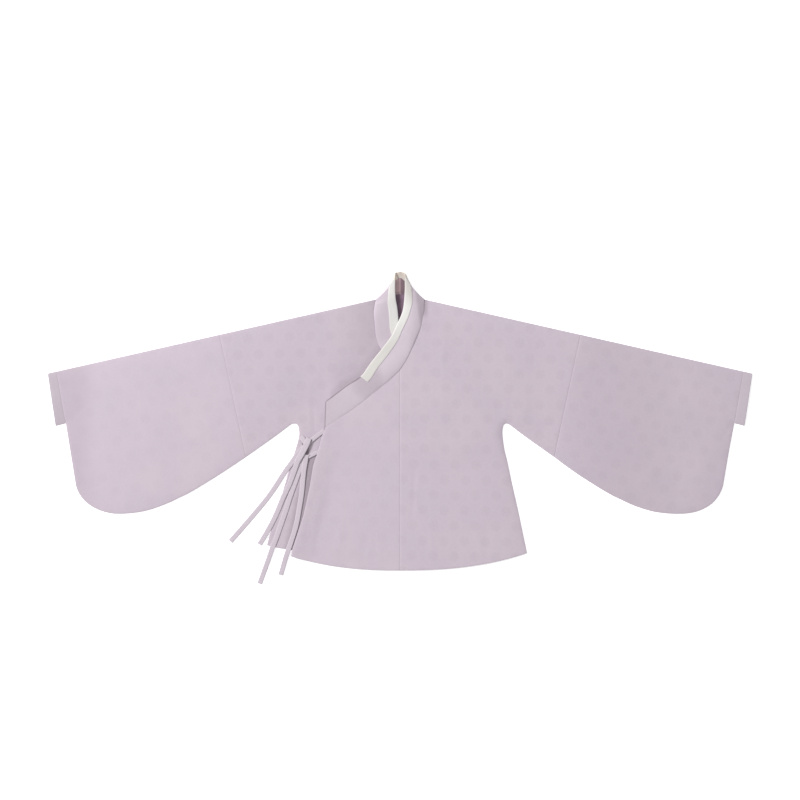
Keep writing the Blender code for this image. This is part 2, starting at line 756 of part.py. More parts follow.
def flap_outer():
    foot = OVERLAP_EDGE[-1]
    hem = flipped(hem_line(-1.0, 0.0, (-foot[0], foot[1])))
    edge = split(OVERLAP_EDGE[::-1])
    neckline = seam_points(OVER_COLLAR, lambda x: OVERLAP_EDGE[0][0] + SEAM_CLEAR < x < -SEAM_CLEAR)[1:]
    neck = [edge[-1], *neckline, (-SEAM / 2, CENTRE_SEAM_TOP)]
    outline = cut(False, ("open", hem), ("open", edge), ("open", neck), ("open", split([neck[-1], hem[0]])))
    panel("flap_outer", outline, level=over_level)


def flap_inner():
    neckline = seam_points(UNDER_COLLAR, lambda x: SEAM_CLEAR < x < INNER_FLAP_TOP[0] - SEAM_CLEAR)[:-1]
    hem = split(INNER_FLAP_HEM)
    neck = [INNER_FLAP_TOP, *neckline[::-1], (SEAM / 2, CENTRE_SEAM_TOP)]
    edge, seam = split([hem[-1], neck[0]]), split([neck[-1], hem[0]])
    panel("flap_inner", cut(False, ("open", hem), ("open", edge), ("open", neck), ("open", seam)))


def tube(name, flip, lower, end_foot, end_top_x, start_top_x):
    """A flattened tube between two seams, folded along the top and closed below."""
    top = split([(end_top_x, shoulder_y(end_top_x)), (start_top_x, shoulder_y(start_top_x))])
    end, start = split([end_foot, top[0]]), split([top[-1], lower[0]])
    outline = cut(flip, ("join", lower), ("open", end), ("join", top), ("open", start))
    panel(name, outline, outline)


def sleeve(name, flip):
    foot = (SLEEVE_SEAM_FOOT[0] + SEAM, SLEEVE_SEAM_FOOT[1])
    edge = SLEEVE_EDGE if flip else RIGHT_SLEEVE_EDGE
    lower = split([foot, *edge[-2::-1]])
    tube(name, flip, lower, CUFF_SEAM_FOOT, CUFF_SEAM_X, SLEEVE_SEAM_TOP_X + SEAM)


def cuff(name, flip):
    lower = split([(CUFF_SEAM_FOOT[0] + SEAM, CUFF_SEAM_FOOT[1]), CUFF_FOOT])
    tube(name, flip, lower, CUFF_FOOT, CUFF_TOP_X, CUFF_SEAM_X + SEAM)


def main():
    for old in list(bpy.data.objects):
        bpy.data.objects.remove(old, do_unlink=True)
    body_right()
    body_left()
    flap_outer()
    flap_inner()
    for side, flip in (("right", False), ("left", True)):
        sleeve("sleeve_" + side, flip)
        cuff("cuff_" + side, flip)
    rows = collar_rows()
    make_collar(rows)
    make_guard([row for row in rows if abs(row[2]) < GUARD_REACH])
    make_tie("tie_upper_outer", TIE_UPPER_OUTER)
    make_tie("tie_upper_inner", TIE_UPPER_INNER)
    make_tie("tie_lower_outer", TIE_LOWER_OUTER)
    make_tie("tie_lower_inner", TIE_LOWER_INNER)


main()
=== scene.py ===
import math

import bmesh
import bpy
import numpy as np
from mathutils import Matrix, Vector, noise
from mathutils.geometry import delaunay_2d_cdt


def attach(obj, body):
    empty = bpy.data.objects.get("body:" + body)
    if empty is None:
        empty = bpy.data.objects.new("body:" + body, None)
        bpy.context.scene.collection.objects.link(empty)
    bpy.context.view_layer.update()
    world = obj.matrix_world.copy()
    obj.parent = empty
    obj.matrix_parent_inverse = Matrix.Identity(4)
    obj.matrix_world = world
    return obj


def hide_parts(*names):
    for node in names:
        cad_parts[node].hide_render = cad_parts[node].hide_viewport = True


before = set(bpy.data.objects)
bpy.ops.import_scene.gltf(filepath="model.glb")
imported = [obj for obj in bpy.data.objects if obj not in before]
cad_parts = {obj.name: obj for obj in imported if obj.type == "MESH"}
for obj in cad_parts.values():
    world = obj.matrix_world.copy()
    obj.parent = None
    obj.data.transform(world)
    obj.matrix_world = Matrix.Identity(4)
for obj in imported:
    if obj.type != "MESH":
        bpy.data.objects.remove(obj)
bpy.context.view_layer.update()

# Cloth: the solids' wall, the thickness of each shell, and the gap at a seam, in metres
WALL = 0.0012
CLOTH = 0.0009
BAND_CLOTH = 0.0014
GUARD_CLOTH = 0.0008
TIE_CLOTH = 0.0011
SEAM = 0.0002

# Levels of the layers above the surface, and what the hidden layers lift
UNDER_LEVEL = 0.0016
OVER_LEVEL = 0.0034
HIDDEN_COLLAR_LIFT = 0.0022
HIDDEN_GUARD_LIFT = 0.0012
LOFT = 0.0018
OVERLAP_LIFT = 0.0036
OVERLAP_LIFT_END = 0.06
OVERLAP_LIFT_HELD = 0.6
INNER_FLAP_DROP = 0.0002

# Start and end of each change in height: the sleeves' loft, and the layers hidden under the front
LOFT_X, LOFT_BELOW_X, LOFT_Y = (0.22, 0.32), (0.34, 0.40), (-0.03, 0.03)
LOFT_REACH = 0.03
HIDDEN_FLAP_X = 0.24, 0.36
HIDDEN_COLLAR_X, HIDDEN_COLLAR_Y = (0.14, 0.30), (-0.12, -0.030)
HIDDEN_GUARD_X, HIDDEN_GUARD_Y = (0.10, 0.15), (-0.02, 0.05)

# How far in the front is drawn down by its shoulder fold and, past a distance from the middle, by its side
SHOULDER_DIP_END = 0.05
SIDE_DIP_REACH = 0.007
SIDE_DIP_X = 0.2

# The cut: shoulder line, cuffs, sleeve seams and neck
NECK_X, NECK_Y = 0.0640, 0.3288
NECK_TUCK = (0.0627, 0.3268)
SHOULDER_FALL = 0.2258
CUFF_TOP_X = 0.8980
CUFF_SEAM_X = 0.8757
CUFF_FOOT = (0.8780, 0.0066)
CUFF_SEAM_FOOT = (0.8522, 0.0133)
SLEEVE_SEAM_TOP_X = 0.4603
SLEEVE_SEAM_FOOT = (0.3930, -0.0730)
BACK_NECK_Y = 0.3420
BACK_NECK = ((0.0602, 0.3284), (0.0556, 0.3303), (0.0420, 0.3363), (0.0215, 0.3407))
CENTRE_SEAM_TOP = 0.1510

# The hem: its middle, how it rises towards the sides, and its turned edge
HEM_CENTRE = -0.3615
HEM_RISE_AT = 0.3000
HEM_POWER = 2.4
HEM_RISE_RIGHT = 0.0361
HEM_RISE_LEFT = 0.0435
BACK_HEM_LIFT = 0.0050
HEM_TURN = 0.0125, 0.0155
HEM_PUFF = 0.00018

# Folds and open edges: how far they bulge, and the least angle that stays a sharp edge
FOLD_BULGE = 0.0011
RIM_BULGE = 0.0003
PANEL_SHARP, BAND_SHARP = 55.0, 60.0

# Collar: its sewn width, its flat width, and how the neck shapes it
COLLAR_WIDTH = 0.053
COLLAR_FLAT_WIDTH = 0.056
COLLAR_PUFF = 0.00022
COLLAR_STEPS = 10
COLLAR_SHARES = (0.0, 0.012, 0.035, 0.09, 0.18, 0.28, 0.38, 0.48, 0.58, 0.68, 0.78, 0.88, 0.95, 1.0)
SEAM_DIPS, FREE_EDGE_DIP, DIP_SHARE = (0.25, 0.12, 0.03), 0.15, 0.4
CROWN_SKEW, NECK_CROWN_SKEW = 0.62, 0.40
NECK_WAIST = 0.0059
NECK_LIFT = 0.0009
NECK_SINK = 0.0022
CHEST_SINK = 0.0010
UP_THE_NECK = 0.20, 0.28
BESIDE_THE_NECK = 0.24, 0.28

# Guard: its widths outside, inside and flat, its gap to the collar, and how its lower end is cut back
GUARD_OUTER = 0.0206
GUARD_INNER = 0.0150
GUARD_WIDTH = 0.040
GUARD_FLAT_WIDTH = 0.042
GUARD_GAP = 0.00025
GUARD_REACH = 0.1020
LEAST_COLLAR_WIDTH = 0.048
GUARD_FOOT = 3
GUARD_TURN = (0.7, 1.2, 1.571, 1.94, 2.44)
GUARD_CUT, GUARD_CUT_SLANT, GUARD_CUT_REACH = 0.0035, 0.0057, 0.035
GUARD_PUFF, GUARD_EDGE_DIP = 0.00018, 0.00030
GUARD_FOLD_OUT, GUARD_FOLD_IN = (0.0006, 0.9), (0.0002, 0.8)

# Ties: their width, and the rounded heads that close over a knot
TIE_WIDTH = 0.0130
HEAD_ROUND = 0.0045
HEAD_DROP = 0.0012

# Flat sizes of the panels, each all round: width and length
SLEEVE_FLAT, CUFF_FLAT = (0.49, 0.74), (0.028, 0.28)
FLAT = {
    "body_right": (0.50, 1.38),
    "body_left": (0.50, 1.36),
    "flap_outer": (0.34, 0.56),
    "flap_inner": (0.21, 0.51),
    "sleeve_right": SLEEVE_FLAT,
    "sleeve_left": SLEEVE_FLAT,
    "cuff_right": CUFF_FLAT,
    "cuff_left": CUFF_FLAT,
}

# Relief of the cloth: waves as height, scale and seed, puckers as height and reach, then swells and limits
FRONT_WAVES = (0.00055, 6.0, 1.7), (0.00026, 17.0, 5.1)
BACK_WAVES = (0.00040, 6.5, 8.3)
BACK_LIFT = 0.00022
SLEEVE_PUCKER = 0.00034, 0.010
CUFF_PUCKER = 0.00022, 0.005
CENTRE_PUCKER = 0.00014, 0.006
COLLAR_SWELL, SWELL_END_X = 0.0007, -0.04
SWELL_AT, SWELL_WIDTH, GROOVE_REACH = 0.017, 0.009, 0.006
NECK_LIFT_REACH, NECK_LIFT_X = 0.008, 0.03
UNDER_TIES_X = -0.37, -0.225
DEEPEST_CREASE = -0.0006
HIGHEST_CREASE = 0.0014
HIGHEST_UNDER_TIES = 0.0002
HIGHEST_BACK = 0.00055

# How finely the cloth is drawn
GRID = 0.0055
ROW_SHARE = 0.87
EDGE_STEP = 0.0045
RINGS = (0.0011, 0.0032)

# Outlines on the surface, as x and y; those of the left side are mirrored
LEFT_SLEEVE_EDGE = (
    (0.8522, 0.0133), (0.8405, -0.0590), (0.8288, -0.1313), (0.8262, -0.1466),
    (0.8205, -0.1619), (0.8105, -0.1772), (0.7936, -0.1935), (0.7676, -0.2078),
    (0.7400, -0.2155), (0.7140, -0.2173), (0.6780, -0.2150), (0.6401, -0.2078),
    (0.5967, -0.1925), (0.5636, -0.1772), (0.5330, -0.1619), (0.4820, -0.1313),
    (0.4350, -0.1010), (0.3930, -0.0730),
)
RIGHT_SLEEVE_EDGE = (
    (0.8522, 0.0133), (0.8385, -0.0590), (0.8262, -0.1313), (0.8234, -0.1466),
    (0.8176, -0.1619), (0.8083, -0.1772), (0.7926, -0.1935), (0.7676, -0.2078),
    (0.7400, -0.2155), (0.7140, -0.2175), (0.6780, -0.2162), (0.6401, -0.2104),
    (0.5967, -0.1966), (0.5636, -0.1817), (0.5330, -0.1665), (0.4820, -0.1356),
    (0.4350, -0.1042), (0.3930, -0.0730),
)
UNDERARM = ((0.3930, -0.0730), (0.3600, -0.0498), (0.3239, -0.0242), (0.2950, -0.0025))
RIGHT_SIDE = (
    (0.2950, -0.0025), (0.2831, 0.0064), (0.2755, 0.0116), (0.2690, 0.0125),
    (0.2644, 0.0090), (0.2622, 0.0010), (0.2614, -0.0166), (0.2665, -0.0548),
    (0.2741, -0.0854), (0.2869, -0.1466), (0.3009, -0.2078), (0.3137, -0.2690),
    (0.3239, -0.3175),
)
LEFT_SIDE = (
    (0.2950, -0.0025), (0.2831, 0.0064), (0.2755, 0.0116), (0.2680, 0.0125),
    (0.2615, 0.0090), (0.2584, 0.0010), (0.2576, -0.0180), (0.2627, -0.0395),
    (0.2765, -0.0854), (0.2807, -0.1000),
)
# The left side's slit: y, x of the front, x of the back
LEFT_SLIT = (
    (-0.1000, 0.2807, 0.2807),
    (-0.1466, 0.2946, 0.2936),
    (-0.2078, 0.3130, 0.3110),
    (-0.2690, 0.3315, 0.3277),
)
LEFT_FRONT_CORNER = (0.3392, -0.2971)
LEFT_BACK_CORNER = (0.3341, -0.2933)
LEFT_FRONT_HEM = (
    (0.0002, -0.3370), (0.0900, -0.3330), (0.1800, -0.3250), (0.2754, -0.3098),
    (0.3162, -0.3030),
)
LEFT_BACK_HEM = (
    (0.0002, -0.3597), (0.0900, -0.3540), (0.1800, -0.3360), (0.2400, -0.3170),
    (0.2754, -0.3060), (0.3162, -0.2975),
)
INNER_FLAP_HEM = ((0.0002, -0.3370), (0.0650, -0.3360), (0.1300, -0.3320), (0.1900, -0.3240))
INNER_FLAP_TOP = (0.1900, -0.0050)
OVERLAP_EDGE = (
    (-0.1925, -0.0040), (-0.1993, -0.0230), (-0.2050, -0.0440), (-0.2112, -0.0660),
    (-0.2184, -0.0860), (-0.2228, -0.1058), (-0.2274, -0.1352), (-0.2332, -0.1645),
    (-0.2396, -0.1935), (-0.2466, -0.2231), (-0.2556, -0.2522), (-0.2655, -0.2818),
    (-0.2736, -0.3080), (-0.2775, -0.3258),
)

# Collar: seam x, seam y, free edge x, free edge y, seam height, free edge height, crown
OVER_COLLAR = (
    (-0.1905, 0.0013, -0.1879, 0.0678, 0.0078, 0.0072, 0.0006),
    (-0.1402, 0.0367, -0.1606, 0.0882, 0.0076, 0.0066, 0.0008),
    (-0.1076, 0.0589, -0.1339, 0.1084, 0.0078, 0.0064, 0.0010),
    (-0.0681, 0.0905, -0.0984, 0.1316, 0.0080, 0.0064, 0.0012),
    (-0.0306, 0.1211, -0.0720, 0.1678, 0.0084, 0.0074, 0.0014),
    (0.0000, 0.1510, -0.0420, 0.2052, 0.0086, 0.0100, 0.0016),
    (0.0209, 0.1839, -0.0205, 0.2347, 0.0086, 0.0112, 0.0020),
    (0.0382, 0.2218, -0.0074, 0.2618, 0.0084, 0.0120, 0.0028),
    (0.0523, 0.2575, 0.0044, 0.2866, 0.0078, 0.0124, 0.0036),
    (0.0598, 0.2920, 0.0102, 0.3060, 0.0068, 0.0124, 0.0040),
    (0.0616, 0.3150, 0.0128, 0.3315, 0.0058, 0.0120, 0.0036),
    (0.0618, 0.3212, 0.0135, 0.3600, 0.0052, 0.0120, 0.0026),
)
UNDER_COLLAR = (
    (-0.0630, 0.3212, -0.0135, 0.3600, 0.0050, 0.0117, 0.0024),
    (-0.0642, 0.3150, -0.0128, 0.3315, 0.0054, 0.0112, 0.0034),
    (-0.0668, 0.2930, -0.0084, 0.3034, 0.0046, 0.0092, 0.0034),
    (-0.0645, 0.2703, -0.0060, 0.2782, 0.0038, 0.0070, 0.0022),
    (-0.0612, 0.2361, -0.0034, 0.2512, 0.0032, 0.0052, 0.0008),
    (-0.0515, 0.2080, 0.0122, 0.2262, 0.0032, 0.0042, 0.0002),
    (-0.0262, 0.1770, 0.0376, 0.2002, 0.0032, 0.0040, 0.0),
    (0.0000, 0.1510, 0.0688, 0.1721, 0.0032, 0.0040, 0.0),
    (0.0510, 0.1109, 0.1020, 0.1466, 0.0032, 0.0040, 0.0),
    (0.1020, 0.0701, 0.1428, 0.1135, 0.0032, 0.0040, 0.0),
    (0.1850, 0.0050, 0.1879, 0.0676, 0.0032, 0.0040, 0.0),
)
BACK_COLLAR = (
    (0.0570, 0.3326, 0.0049, 0.3970, 0.0012, 0.0034, 0.0),
    (0.0450, 0.3372, 0.0037, 0.3979, 0.0012, 0.0034, 0.0),
    (0.0225, 0.3410, 0.0019, 0.3984, 0.0012, 0.0034, 0.0),
    (0.0000, 0.3420, 0.0000, 0.3985, 0.0012, 0.0034, 0.0),
)

# Width of the guard outside, on the over and the under collar: y of the free edge, width
GUARD_OVER = (
    (0.1500, 0.0206), (0.1680, 0.0201), (0.2050, 0.0195), (0.2350, 0.0178),
    (0.2620, 0.0165), (0.3060, 0.0167), (0.3320, 0.0204), (0.3700, 0.0212),
)
GUARD_UNDER = ((0.3000, 0.0213), (0.3500, 0.0199))

# Where the collar rolls over the side of the neck
NECK_FOLD_SEAM = (0.0610, 0.3276)
NECK_FOLD_FREE = (0.0092, 0.3920)
NECK_ROLL_SEAM, NECK_ROLL_FREE = 0.0019, 0.0044
NECK_SLIDE_SEAM, NECK_SLIDE_FREE = 0.0020, 0.0058
NECK_CROWN = 0.6

# Ties, each a strap from its seam and a tail from its knot: x, y, height of the underside, and the width
# where it isn't the tape's own
UPPER_OUTER_STRAP = (
    (-0.1925, -0.0046, 0.0036, 0.0102),
    (-0.2030, -0.0125, 0.0036, 0.0104),
    (-0.2150, -0.0212, 0.0038, 0.0110),
    (-0.2262, -0.0302, 0.0044, 0.0116),
    (-0.2345, -0.0370, 0.0052, 0.0116),
)
UPPER_OUTER_TAIL = (
    (-0.2312, -0.0244, 0.0070, 0.0150),
    (-0.2385, -0.0400, 0.0084, 0.0152),
    (-0.2433, -0.0505, 0.0086, 0.0150),
    (-0.2525, -0.0681, 0.0080, 0.0146),
    (-0.2586, -0.0780, 0.0070, 0.0142),
    (-0.2632, -0.0885, 0.0060, 0.0136),
    (-0.2690, -0.1060, 0.0054, 0.0132),
    (-0.2815, -0.1400, 0.0050),
    (-0.2897, -0.1580, 0.0047),
    (-0.2980, -0.1754, 0.0038),
    (-0.3155, -0.2178, 0.0034),
    (-0.3345, -0.2558, 0.0032),
    (-0.3583, -0.2958, 0.0004),
)
UPPER_INNER_STRAP = (
    (-0.2522, -0.0200, 0.0036, 0.0118),
    (-0.2490, -0.0255, 0.0042, 0.0140),
    (-0.2440, -0.0335, 0.0046, 0.0144),
    (-0.2400, -0.0395, 0.0046, 0.0140),
)
UPPER_INNER_TAIL = (
    (-0.2430, -0.0435, 0.0034),
    (-0.2505, -0.0525, 0.0034),
    (-0.2640, -0.0690, 0.0034),
    (-0.2774, -0.0887, 0.0033),
    (-0.2890, -0.1040, 0.0032),
    (-0.3037, -0.1262, 0.0024),
    (-0.3172, -0.1475, 0.0010),
    (-0.3400, -0.1798, 0.0),
    (-0.3855, -0.2343, 0.0),
    (-0.4325, -0.2880, 0.0),
)
LOWER_INNER_TAIL = (
    (-0.2452, -0.0700, 0.0033),
    (-0.2505, -0.0800, 0.0033),
    (-0.2560, -0.1015, 0.0033),
    (-0.2624, -0.1227, 0.0033),
    (-0.2795, -0.1714, 0.0033),
    (-0.2922, -0.2114, 0.0033),
    (-0.3105, -0.2642, 0.0033),
    (-0.3255, -0.3045, 0.0033),
    (-0.3425, -0.3532, 0.0006),
    (-0.3580, -0.3958, 0.0),
)
LOWER_OUTER_STRAP = (
    (-0.2070, -0.0590, 0.0036, 0.0097),
    (-0.2140, -0.0625, 0.0038, 0.0097),
    (-0.2230, -0.0668, 0.0040, 0.0098),
    (-0.2321, -0.0714, 0.0040, 0.0100),
    (-0.2375, -0.0745, 0.0038, 0.0100),
)
LOWER_OUTER_TAIL = (
    (-0.2388, -0.0668, 0.0052, 0.0136),
    (-0.2404, -0.0760, 0.0052, 0.0138),
    (-0.2422, -0.0880, 0.0046, 0.0134),
    (-0.2451, -0.1058, 0.0044),
    (-0.2481, -0.1352, 0.0040),
    (-0.2507, -0.1645, 0.0038),
    (-0.2560, -0.1986, 0.0038),
    (-0.2644, -0.2453, 0.0038),
    (-0.2772, -0.2876, 0.0038),
    (-0.2897, -0.3236, 0.0030),
    (-0.3042, -0.3736, 0.0),
)

# Creases of the fronts: x, y of both ends, bend, half width, height; troughs are negative
CREASES = (
    (0.0357, -0.0931, 0.0281, -0.2461, 0.004, 0.0060, -0.00040),
    (0.0470, -0.1180, 0.0420, -0.2300, -0.003, 0.0080, 0.00030),
    (0.1200, 0.2060, 0.1190, 0.1600, 0.002, 0.0060, -0.00040),
    (0.1650, -0.1670, 0.2230, -0.1660, 0.003, 0.0060, -0.00028),
    (-0.2219, 0.0700, -0.2142, -0.0242, -0.003, 0.0050, -0.00050),
    (-0.2330, 0.0560, -0.2260, -0.0100, 0.003, 0.0060, 0.00035),
    (0.0900, -0.3540, 0.0800, -0.2500, 0.004, 0.0110, 0.00035),
    (0.1500, -0.3480, 0.1440, -0.2800, -0.003, 0.0100, -0.00030),
    (0.2100, -0.3420, 0.2010, -0.2350, 0.005, 0.0130, 0.00040),
    (0.2620, -0.3330, 0.2520, -0.2500, -0.003, 0.0090, -0.00030),
    (-0.0600, -0.3600, -0.0500, -0.2700, -0.004, 0.0110, 0.00035),
    (-0.0950, -0.3560, -0.0820, -0.2600, 0.003, 0.0090, -0.00030),
    (-0.1700, -0.3480, -0.1480, -0.2200, -0.004, 0.0120, 0.00040),
    (-0.2300, -0.3380, -0.1900, -0.1300, 0.006, 0.0110, 0.00045),
    (0.2540, -0.0180, 0.2050, 0.0700, 0.008, 0.0120, 0.00040),
    (0.2650, 0.0230, 0.2450, 0.1150, 0.006, 0.0130, -0.00035),
    (0.2900, 0.0080, 0.3300, 0.0900, -0.006, 0.0120, 0.00035),
    (-0.2620, 0.0240, -0.2440, 0.1050, -0.006, 0.0130, -0.00035),
    (-0.2880, 0.0080, -0.3270, 0.0850, 0.006, 0.0120, 0.00040),
    (-0.2500, 0.0500, -0.1950, 0.1600, 0.010, 0.0160, 0.00040),
    (0.4400, 0.0500, 0.5100, -0.0200, 0.006, 0.0140, 0.00040),
    (0.4650, 0.1500, 0.5400, 0.1200, 0.006, 0.0160, -0.00035),
    (0.6200, -0.1700, 0.6700, -0.0700, 0.010, 0.0180, 0.00045),
    (0.7100, -0.1900, 0.7300, -0.0900, 0.008, 0.0170, -0.00040),
    (0.7700, -0.1700, 0.7500, -0.0500, -0.008, 0.0180, 0.00040),
    (0.8430, 0.0200, 0.8100, 0.0450, 0.003, 0.0060, 0.00050),
    (0.8480, 0.0120, 0.8250, -0.0250, -0.003, 0.0060, -0.00045),
    (0.8350, 0.0400, 0.7900, 0.0950, 0.004, 0.0120, -0.00030),
    (-0.4500, 0.0400, -0.5200, -0.0300, -0.006, 0.0150, 0.00040),
    (-0.4300, 0.1600, -0.5300, 0.1450, -0.006, 0.0160, -0.00035),
    (-0.6100, -0.1600, -0.6500, -0.0600, -0.010, 0.0180, 0.00040),
    (-0.7200, -0.1900, -0.7400, -0.0800, -0.008, 0.0180, -0.00040),
    (-0.7900, -0.1500, -0.7600, -0.0400, 0.008, 0.0170, 0.00045),
    (-0.8400, 0.0300, -0.7950, 0.0700, -0.004, 0.0090, -0.00035),
)

# Creases of the hidden backs, in the same columns
BACK_CREASES = (
    (0.0600, -0.3400, 0.0500, -0.1900, 0.006, 0.0140, 0.00030),
    (0.1700, -0.3300, 0.1450, -0.1500, -0.006, 0.0160, 0.00035),
    (-0.0900, -0.3400, -0.0750, -0.2000, -0.005, 0.0140, 0.00030),
    (-0.2100, -0.3200, -0.1850, -0.1400, 0.006, 0.0160, 0.00035),
    (0.2500, 0.0300, 0.1900, 0.1500, 0.010, 0.0180, 0.00035),
    (-0.2500, 0.0300, -0.1850, 0.1600, -0.010, 0.0180, 0.00035),
    (0.6500, -0.1500, 0.6900, -0.0300, 0.010, 0.0190, 0.00035),
    (-0.6600, -0.1500, -0.7000, -0.0200, -0.010, 0.0190, 0.00035),
    (0.4800, 0.0800, 0.5800, 0.0300, 0.006, 0.0170, 0.00030),
    (-0.4900, 0.0900, -0.5800, 0.0400, -0.006, 0.0170, 0.00030),
)


# Shapes


def rise(start, end, value):
    """0 before start, 1 past end and smooth between."""
    part = np.clip((value - start) / (end - start), 0.0, 1.0)
    return part * part * (3.0 - 2.0 * part)


def smooth_rows(rows, steps):
    """A Catmull-Rom curve through rows of any number of columns."""
    table = np.array(rows, float)
    last = len(table) - 1
    out = []
    for i in range(last):
        p, q, r, s = table[max(i - 1, 0)], table[i], table[i + 1], table[min(i + 2, last)]
        for k in range(steps):
            t = k / steps
            squared, cubed = (2 * p - 5 * q + 4 * r - s) * t * t, (3 * q - p - 3 * r + s) * t**3
            out.append(0.5 * (2 * q + (r - p) * t + squared + cubed))
    return np.array([*out, table[last]])


def even(points, step=EDGE_STEP):
    """The same line with points at even steps."""
    points = np.array(points, float)
    along = np.concatenate([[0.0], np.cumsum(np.linalg.norm(np.diff(points, axis=0), axis=1))])
    count = max(1, round(along[-1] / step))
    at = np.linspace(0.0, along[-1], count + 1)
    return np.stack([np.interp(at, along, points[:, k]) for k in range(points.shape[1])], axis=1)


def line(*points):
    """A run of straight pieces, each at even steps, with its corners kept."""
    parts = [even(pair)[:-1] for pair in zip(points, points[1:])]
    return np.concatenate([*parts, np.array([points[-1]], float)])


def curve(points):
    return even(smooth_rows(points, 8))


def near(x, y, run):
    """Distance to a run, and how far along it the nearest place is, in metres."""
    best, place, passed = np.full(x.shape, 9.0), np.zeros(x.shape), 0.0
    for a, b in zip(run, run[1:]):
        d = b - a
        size = float(np.hypot(*d))
        part = np.clip(((x - a[0]) * d[0] + (y - a[1]) * d[1]) / max(size * size, 1e-12), 0.0, 1.0)
        gap = np.hypot(x - a[0] - part * d[0], y - a[1] - part * d[1])
        closer = gap < best
        best, place = np.where(closer, gap, best), np.where(closer, passed + part * size, place)
        passed += size
    return best, place


def flipped(points):
    return np.array(points, float) * (-1.0, 1.0)


def shoulder_y(x):
    return NECK_Y - SHOULDER_FALL * (x - NECK_X)


def hem_y(x):
    size = np.where(x > 0.0, HEM_RISE_RIGHT, HEM_RISE_LEFT)
    return HEM_CENTRE + size * (np.abs(x) / HEM_RISE_AT) ** HEM_POWER


SHOULDER = line((NECK_X, NECK_Y), (CUFF_TOP_X, shoulder_y(CUFF_TOP_X)))
JOINED_FOOT = np.concatenate(
    [np.array([CUFF_FOOT]), curve(LEFT_SLEEVE_EDGE), curve(UNDERARM)[1:], curve(RIGHT_SIDE)[1:]]
)


def loft(x, y):
    """Air between the layers of the sleeves."""
    share = rise(*LOFT_X, np.abs(x)) * np.maximum(rise(*LOFT_BELOW_X, np.abs(x)), rise(*LOFT_Y, y))
    gap = np.minimum(near(np.abs(x), y, SHOULDER[::4])[0], near(np.abs(x), y, JOINED_FOOT)[0])
    return LOFT * (1.0 - np.exp(-gap / LOFT_REACH)) * share


def inner_level(x, y):
    return np.full(x.shape, UNDER_LEVEL - INNER_FLAP_DROP)


def overlap_x(y):
    table = np.array(OVERLAP_EDGE[::-1])
    return np.interp(y, table[:, 1], table[:, 0])


def front_level(x, y):
    return UNDER_LEVEL + loft(x, y)


def over_level(x, y):
    """Height of the outer front over the inner front, its collar and guard, and the lift of its free edge."""
    fold = rise(0.0, SHOULDER_DIP_END, (shoulder_y(x) - y) * math.cos(math.atan(SHOULDER_FALL)))
    side = 1.0 - np.exp(-near(x, y, JOINED_FOOT)[0] / SIDE_DIP_REACH)
    flap = (1.0 - rise(*HIDDEN_FLAP_X, x)) * (OVER_LEVEL - UNDER_LEVEL)
    collar = (1.0 - rise(*HIDDEN_COLLAR_X, x)) * rise(*HIDDEN_COLLAR_Y, y)
    guard = (1.0 - rise(*HIDDEN_GUARD_X, x)) * rise(*HIDDEN_GUARD_Y, y)
    lift = OVERLAP_LIFT * (1.0 - rise(0.0, OVERLAP_LIFT_END, x - overlap_x(y)))
    lift = lift * (1.0 - OVERLAP_LIFT_HELD * collar)
    over = flap + collar * HIDDEN_COLLAR_LIFT + guard * HIDDEN_GUARD_LIFT
    return UNDER_LEVEL + fold * np.where(x > SIDE_DIP_X, side, 1.0) * over + lift + loft(x, y)


def waviness(x, y, scale, seed):
    return np.array([noise.noise(Vector((a * scale, b * scale, seed))) for a, b in zip(x, y)])


def creased(x, y, creases):
    """Soft ridges and troughs from a list, each dying out towards its ends."""
    out = np.zeros(x.shape)
    for ax, ay, bx, by, bend, width, height in creases:
        a, b = np.array((ax, ay)), np.array((bx, by))
        size = float(np.hypot(*(b - a)))
        side = np.array((a[1] - b[1], b[0] - a[0])) / size
        shares = np.linspace(0.0, 1.0, 9)
        run = np.array([a + (b - a) * t + side * bend * 4.0 * t * (1.0 - t) for t in shares])
        gap, place = near(x, y, run)
        fade = np.sin(np.pi * np.clip(place / max(size, 1e-6), 0.0, 1.0)) ** 0.8
        fade = fade * np.exp(-((gap / (3.2 * width)) ** 4))
        crest, banks = np.exp(-((gap / width) ** 2)), np.exp(-((gap / (2.2 * width)) ** 2))
        out += height * fade * (1.25 * crest - 0.25 * banks)
    return out


def puckered(x, y, run, size, reach):
    """Small uneven gathers that a sewn line leaves beside itself."""
    gap, place = near(x, y, run)
    close = gap < 4.0 * reach
    out = np.zeros(x.shape)
    wave = waviness(place[close] / 0.011, np.zeros(close.sum()), 1.0, float(run[0][0]) * 9.0)
    out[close] = size * wave * np.exp(-gap[close] / reach)
    return out


SLEEVE_SEAM = line(SLEEVE_SEAM_FOOT, (SLEEVE_SEAM_TOP_X, shoulder_y(SLEEVE_SEAM_TOP_X)))
CUFF_SEAM = line(CUFF_SEAM_FOOT, (CUFF_SEAM_X, shoulder_y(CUFF_SEAM_X)))
CENTRE_SEAM = line((0.0, HEM_CENTRE), (0.0, CENTRE_SEAM_TOP))
RIGHT_NECK = smooth_rows(OVER_COLLAR[-6:], 4)[:, :2]
OVER_EDGE = smooth_rows(OVER_COLLAR[1:7], 4)[:, 2:4]


